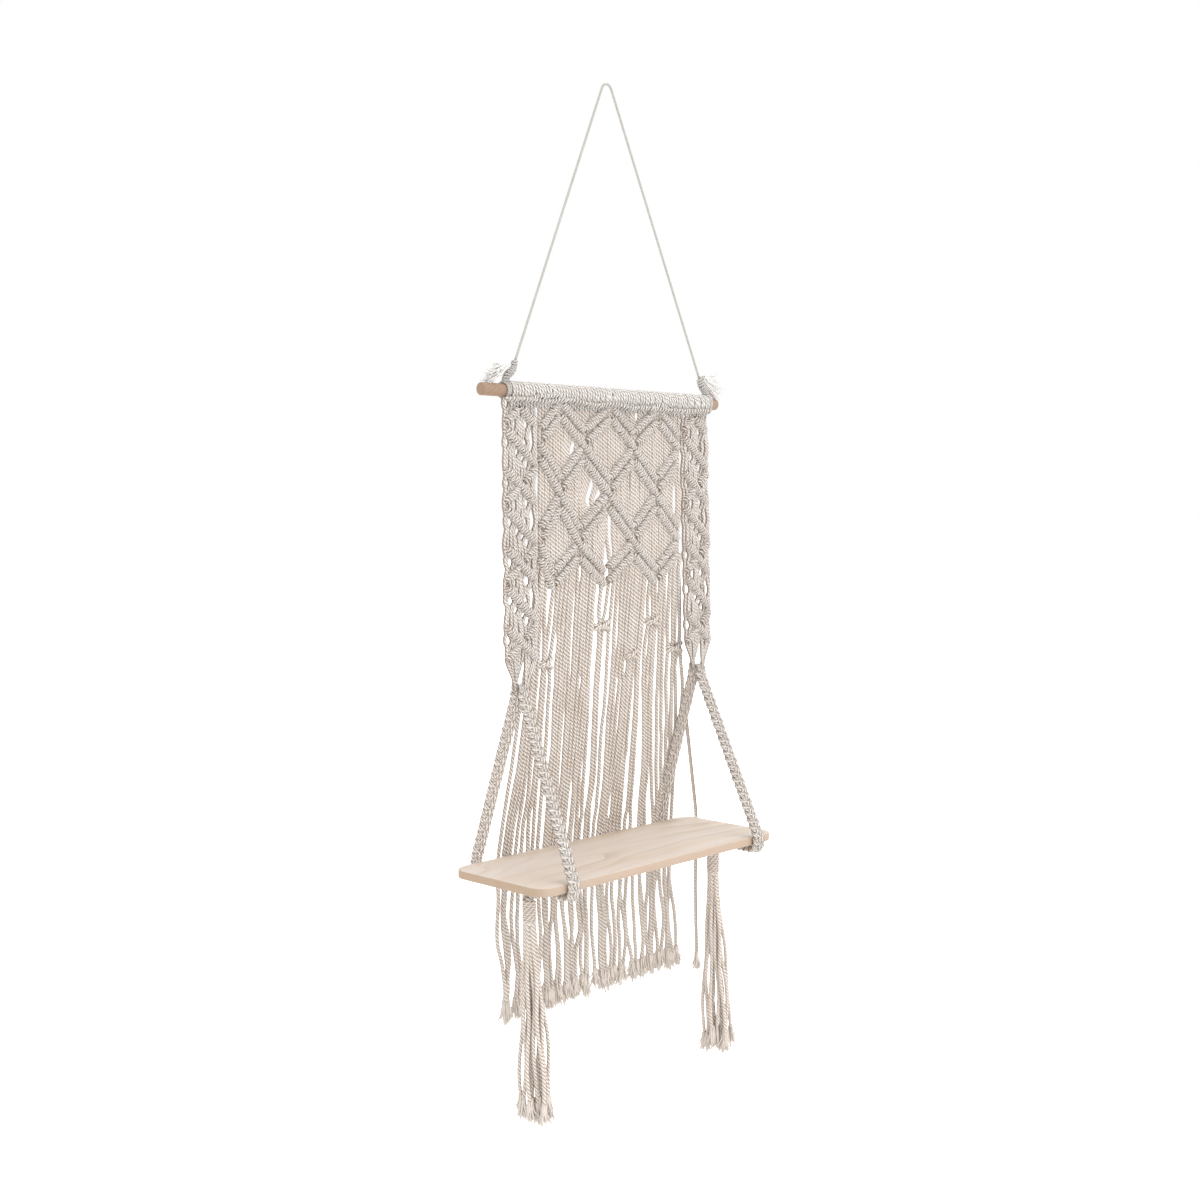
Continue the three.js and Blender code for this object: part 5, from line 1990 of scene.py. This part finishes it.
@dataclass(frozen=True)
class WoodFinish:
    """Sanded wood: a pale ground, darker year rings, long streaks and fine pores.

    rings is how many year rings cross a metre, and the side share how much of the side colour, a
    painted shade, the upright faces take. The ends take a further share of the ring colour as end grain.
    """

    name: str
    ground: Colour
    ring: Colour
    streak: Colour
    rings: float
    bend: float = 0.05
    # The colour of painted shade on the upright edges and ends.
    side: Colour = (182.0, 158.0, 137.0)
    shade_and_end_grain_share: float = 0.0
    roughness: float = 0.55

    def material(self, shared: Shared) -> bpy.types.Material:
        """Makes the material: streaks, rings and pores, then painted shade on the sides and darker end
        grain on the ends, with pores as bump.

        Args:
            shared: the node groups.

        Returns:
            The material.
        """
        made, nodes, shader = new_material(self.name)
        place = nodes.add("ShaderNodeTexCoord")
        grain = nodes.add("ShaderNodeGroup", node_tree=shared.grain)
        grain.inputs["Rings"].default_value = self.rings
        grain.inputs["Bend"].default_value = self.bend
        nodes.link(place.outputs["Object"], grain.inputs["Vector"])
        share = nodes.math("MULTIPLY", grain.outputs["Streak"], 0.7)
        colour = nodes.mix_colour(share, linear(*self.ground), linear(*self.streak))
        share = nodes.math("MULTIPLY", grain.outputs["Rings"], 0.5)
        colour = nodes.mix_colour(share, colour, linear(*self.ring))
        share = nodes.math("MULTIPLY", grain.outputs["Pores"], 0.25)
        colour = nodes.mix_colour(share, colour, linear(*self.ring))
        facing = nodes.add("ShaderNodeSeparateXYZ")
        nodes.link(place.outputs["Normal"], facing.inputs[0])
        level = nodes.math("ABSOLUTE", facing.outputs[2])
        # Painted shade: the upright faces darken towards the side colour.
        upright = nodes.span(level, 0.9, 0.4, 0.0, self.shade_and_end_grain_share)
        colour = nodes.mix_colour(upright, colour, linear(*self.side))
        # The ends also take the ring colour as darker end grain, the wood's own.
        endwise = nodes.math("ABSOLUTE", facing.outputs[0])
        end = nodes.span(endwise, 0.5, 0.95, 0.0, 0.8 * self.shade_and_end_grain_share)
        colour = nodes.mix_colour(end, colour, linear(*self.ring))
        nodes.link(colour, shader.inputs["Base Color"])
        shader.inputs["Roughness"].default_value = self.roughness
        shader.inputs["Specular IOR Level"].default_value = 0.35
        bump = nodes.add("ShaderNodeBump", invert=True)
        bump.inputs["Strength"].default_value = 0.35
        bump.inputs["Distance"].default_value = 0.0003
        nodes.link(grain.outputs["Pores"], bump.inputs["Height"])
        nodes.link(bump.outputs[0], shader.inputs["Normal"])
        return made


@dataclass(frozen=True)
class Studio:
    """The plain pale floor, the white surroundings, the soft lamps and the camera."""

    camera_at: tuple[float, float, float] = (-1.4198, -1.3310, -0.5034)
    camera_turn: tuple[float, float, float] = (86.307, 0.0, -46.607)
    lens: float = 46.96
    fill: tuple[float, float, float] = (1.17, 1.155, 1.135)
    floor_z: float = -1.32
    floor_half: float = 14.0
    sun_width: float = 50.0

    def build(self) -> None:
        """Makes the floor, the world and the lamps, and sets plain colour management."""
        self.add_floor()
        world = bpy.data.worlds.new("white_room")
        bpy.context.scene.world = world
        world.use_nodes = True
        nodes = Nodes(world.node_tree)
        sky = next(n for n in world.node_tree.nodes if n.type == "BACKGROUND")
        ray = nodes.add("ShaderNodeLightPath")
        seen = ray.outputs["Is Camera Ray"]
        colour = nodes.mix_colour(seen, (*self.fill, 1.0), (1.0, 1.0, 1.0, 1.0))
        nodes.link(colour, sky.inputs["Color"])
        sky.inputs["Strength"].default_value = 1.0
        self.add_sun("key_sun", (0.3, -1.6, 1.3), 0.55)
        self.add_sun("top_sun", (0.5, -0.5, 1.6), 0.6)
        scene = bpy.context.scene
        scene.view_settings.view_transform = "Standard"
        scene.view_settings.look = "None"

    def add_floor(self) -> None:
        """Adds a wide flat floor well under the tassels."""
        half = self.floor_half
        corners = ((-half, -half), (half, -half), (half, half), (-half, half))
        points = [(x, y, self.floor_z) for x, y in corners]
        mesh = bpy.data.meshes.new("floor")
        mesh.from_pydata(points, [], [(0, 1, 2, 3)])
        floor = bpy.data.objects.new("floor", mesh)
        bpy.context.scene.collection.objects.link(floor)
        material, nodes, shader = new_material("pale_floor")
        ray = nodes.add("ShaderNodeLightPath")
        black = (0.0, 0.0, 0.0, 1.0)
        glow = nodes.mix_colour(ray.outputs["Is Camera Ray"], black, (1.0, 1.0, 1.0, 1.0))
        nodes.link(glow, shader.inputs["Emission Color"])
        shader.inputs["Emission Strength"].default_value = 1.0
        shader.inputs["Base Color"].default_value = (0.97, 0.97, 0.97, 1.0)
        shader.inputs["Roughness"].default_value = 1.0
        shader.inputs["Specular IOR Level"].default_value = 0.0
        mesh.materials.append(material)

    def add_sun(self, name: str, way: tuple[float, float, float], strength: float) -> None:
        """Adds a wide soft sun, which lights the top and the tassels' ends alike.

        Args:
            name: the lamp's name.
            way: the direction from the object to the lamp.
            strength: the light that it gives, in watts a square metre.
        """
        lamp = bpy.data.lights.new(name, "SUN")
        lamp.energy = strength
        lamp.angle = math.radians(self.sun_width)
        made = bpy.data.objects.new(name, lamp)
        bpy.context.scene.collection.objects.link(made)
        flat = math.hypot(way[0], way[1])
        made.rotation_euler = Euler((math.atan2(flat, way[2]), 0.0, math.atan2(way[0], -way[1])))

    def add_camera(self) -> None:
        """Adds the camera that stands where the photograph was taken from."""
        lens = bpy.data.cameras.new("camera")
        lens.lens = self.lens
        lens.sensor_width = 36.0
        camera = bpy.data.objects.new("camera", lens)
        bpy.context.scene.collection.objects.link(camera)
        camera.location = self.camera_at
        camera.rotation_euler = Euler([math.radians(turn) for turn in self.camera_turn])
        bpy.context.scene.camera = camera


def settle(
    made: bpy.types.Object, material: bpy.types.Material, kind: Piece, replaced: tuple[str, ...]
) -> None:
    """Gives a piece its finish, its body and the CAD nodes that it stands for, and reports it.

    Args:
        made: the piece.
        material: its finish.
        kind: the record's slot that the finish belongs to; not used.
        replaced: the CAD nodes that it stands for.
    """
    made.data.materials.append(material)
    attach(made, "root")
    if replaced:
        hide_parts(*replaced)
    nodes = ", ".join(replaced) or "no node"
    log.info("%s: %d faces, for %s", made.name, len(made.data.polygons), nodes)


def main() -> None:
    """Builds the camera, the finishes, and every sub-assembly and the stage."""
    logging.basicConfig(level=logging.INFO, format="%(name)s: %(message)s")
    studio = Studio()
    studio.add_camera()
    shared = Shared()
    # The thin cord's frayed tails are near white: partly the loose fibres' own paleness, partly painted
    # light against the shade the fibres cast on each other.
    thin = CottonFinish(
        "thin_cord_cotton", (210.0, 212.0, 211.0), (201.0, 201.0, 198.0), contact_shade_share=0.0,
        frayed=(250.0, 249.0, 247.0), lay=4.0, depth=0.0007,
    ).material(shared)
    # The heading's finish is a whiter copy of the knotted cotton with a little less painted shade:
    # painted light for the strong light on its top.
    heading_painted_light = CottonFinish(
        "heading_cotton_painted_light", (246.0, 247.0, 247.0), (239.0, 237.0, 233.0), contact_shade_share=0.7,
        valley_shade_share=0.4,
    ).material(shared)
    knotted = CottonFinish(
        "knotted_cotton", (237.0, 235.0, 232.0), (228.0, 223.0, 217.0), contact_shade_share=0.75,
        valley_shade_share=0.45,
    ).material(shared)
    # The back braids' finish is a lighter copy of the knotted cotton: painted light against the shade
    # behind the board.
    back_plait_painted_light = CottonFinish(
        "back_plait_cotton_painted_light", (246.0, 242.0, 237.0), (240.0, 233.0, 226.0), contact_shade_share=0.7,
    ).material(shared)
    hanging = CottonFinish(
        "hanging_cotton", (240.0, 235.0, 230.0), (233.0, 224.0, 215.0), contact_shade_share=0.1,
    ).material(shared)
    # The tassels' finish is a lighter copy with almost no contact shade: painted light against the shade
    # under the board.
    tassel_painted_light = CottonFinish(
        "tassel_cotton_painted_light", (248.0, 241.0, 234.0), (243.0, 233.0, 223.0), contact_shade_share=0.05,
    ).material(shared)

    settle(Hanger().build_cord(), thin, Piece.HANGER, ("hanging_cord",))
    knots = (
        HangerKnot(
            "hanger_knot_left_cord", -172.35,
            ((-172.6, 9.0), (-168.8, 17.5), (-160.3, 24.0), (-156.0, 34.0)),
            ((-198.0, 9.0), (-197.0, 14.0), (-192.0, 19.0), (-185.0, 24.0)), 41,
        ),
        HangerKnot(
            "hanger_knot_right_cord", 192.2,
            ((192.4, 9.0), (189.0, 17.5), (182.5, 24.0), (178.0, 33.0)),
            ((214.0, 11.0), (213.0, 19.0), (209.0, 27.0), (202.0, 34.0)), 42,
        ),
    )
    for knot in knots:
        settle(knot.build(), thin, Piece.HANGER, (knot.name.removesuffix("_cord"),))
    settle(Heading().build(), heading_painted_light, Piece.COTTON, ("heading",))

    panel = Lattice()
    filling, rows = panel.build()
    settle(filling, hanging, Piece.COTTON, ("panel",))
    settle(rows, knotted, Piece.COTTON, ())
    straps = (
        Strap("strap_left_knots", -151.5, -149.5, 51),
        Strap("strap_right_knots", 163.5, 176.0, 52),
    )
    for strap in straps:
        settle(strap.build(), knotted, Piece.COTTON, (strap.name.removesuffix("_knots"),))
    settle(Fringe().build(panel), hanging, Piece.COTTON, ("fringe",))

    braids = (
        Braid("braid_front_left_plait", -149.0, -171.0, -160.5, -1.0, 61, -103.5),
        Braid("braid_back_left_plait", -150.0, -168.0, -160.5, 1.0, 62, 51.4),
        Braid("braid_front_right_plait", 177.0, 169.0, 179.5, -1.0, 63, -103.5),
        BraidWithLooseStrands("braid_back_right_plait", 175.5, 165.5, 179.5, 1.0, 64, 51.4),
    )
    for braid in braids:
        # The braids behind the board take the lighter copy, painted light against their shade.
        finish = knotted if braid.side < 0.0 else back_plait_painted_light
        settle(braid.build(), finish, Piece.COTTON, (braid.name.removesuffix("_plait"),))
    tassels = (
        Tassel("tassel_left_strands", -160.5, -150.0, 71),
        Tassel("tassel_right_strands", 179.5, 190.0, 72),
    )
    for tassel in tassels:
        settle(tassel.build(), tassel_painted_light, Piece.COTTON, (tassel.name.removesuffix("_strands"),))

    pine = WoodFinish(
        "sanded_pine", (206.0, 195.0, 186.0), (172.0, 148.0, 124.0), (200.0, 183.0, 163.0),
        rings=30.0, bend=0.14, shade_and_end_grain_share=0.75,
    )
    turned = WoodFinish(
        "turned_rod", (162.0, 137.0, 118.0), (138.0, 108.0, 87.0), (151.0, 124.0, 103.0), rings=180.0
    )
    settle(Board().build(), pine.material(shared), Piece.PINE, ("board",))
    settle(Rod().build(), turned.material(shared), Piece.ROD, ("rod",))
    studio.build()


if __name__ == "__main__":
    main()
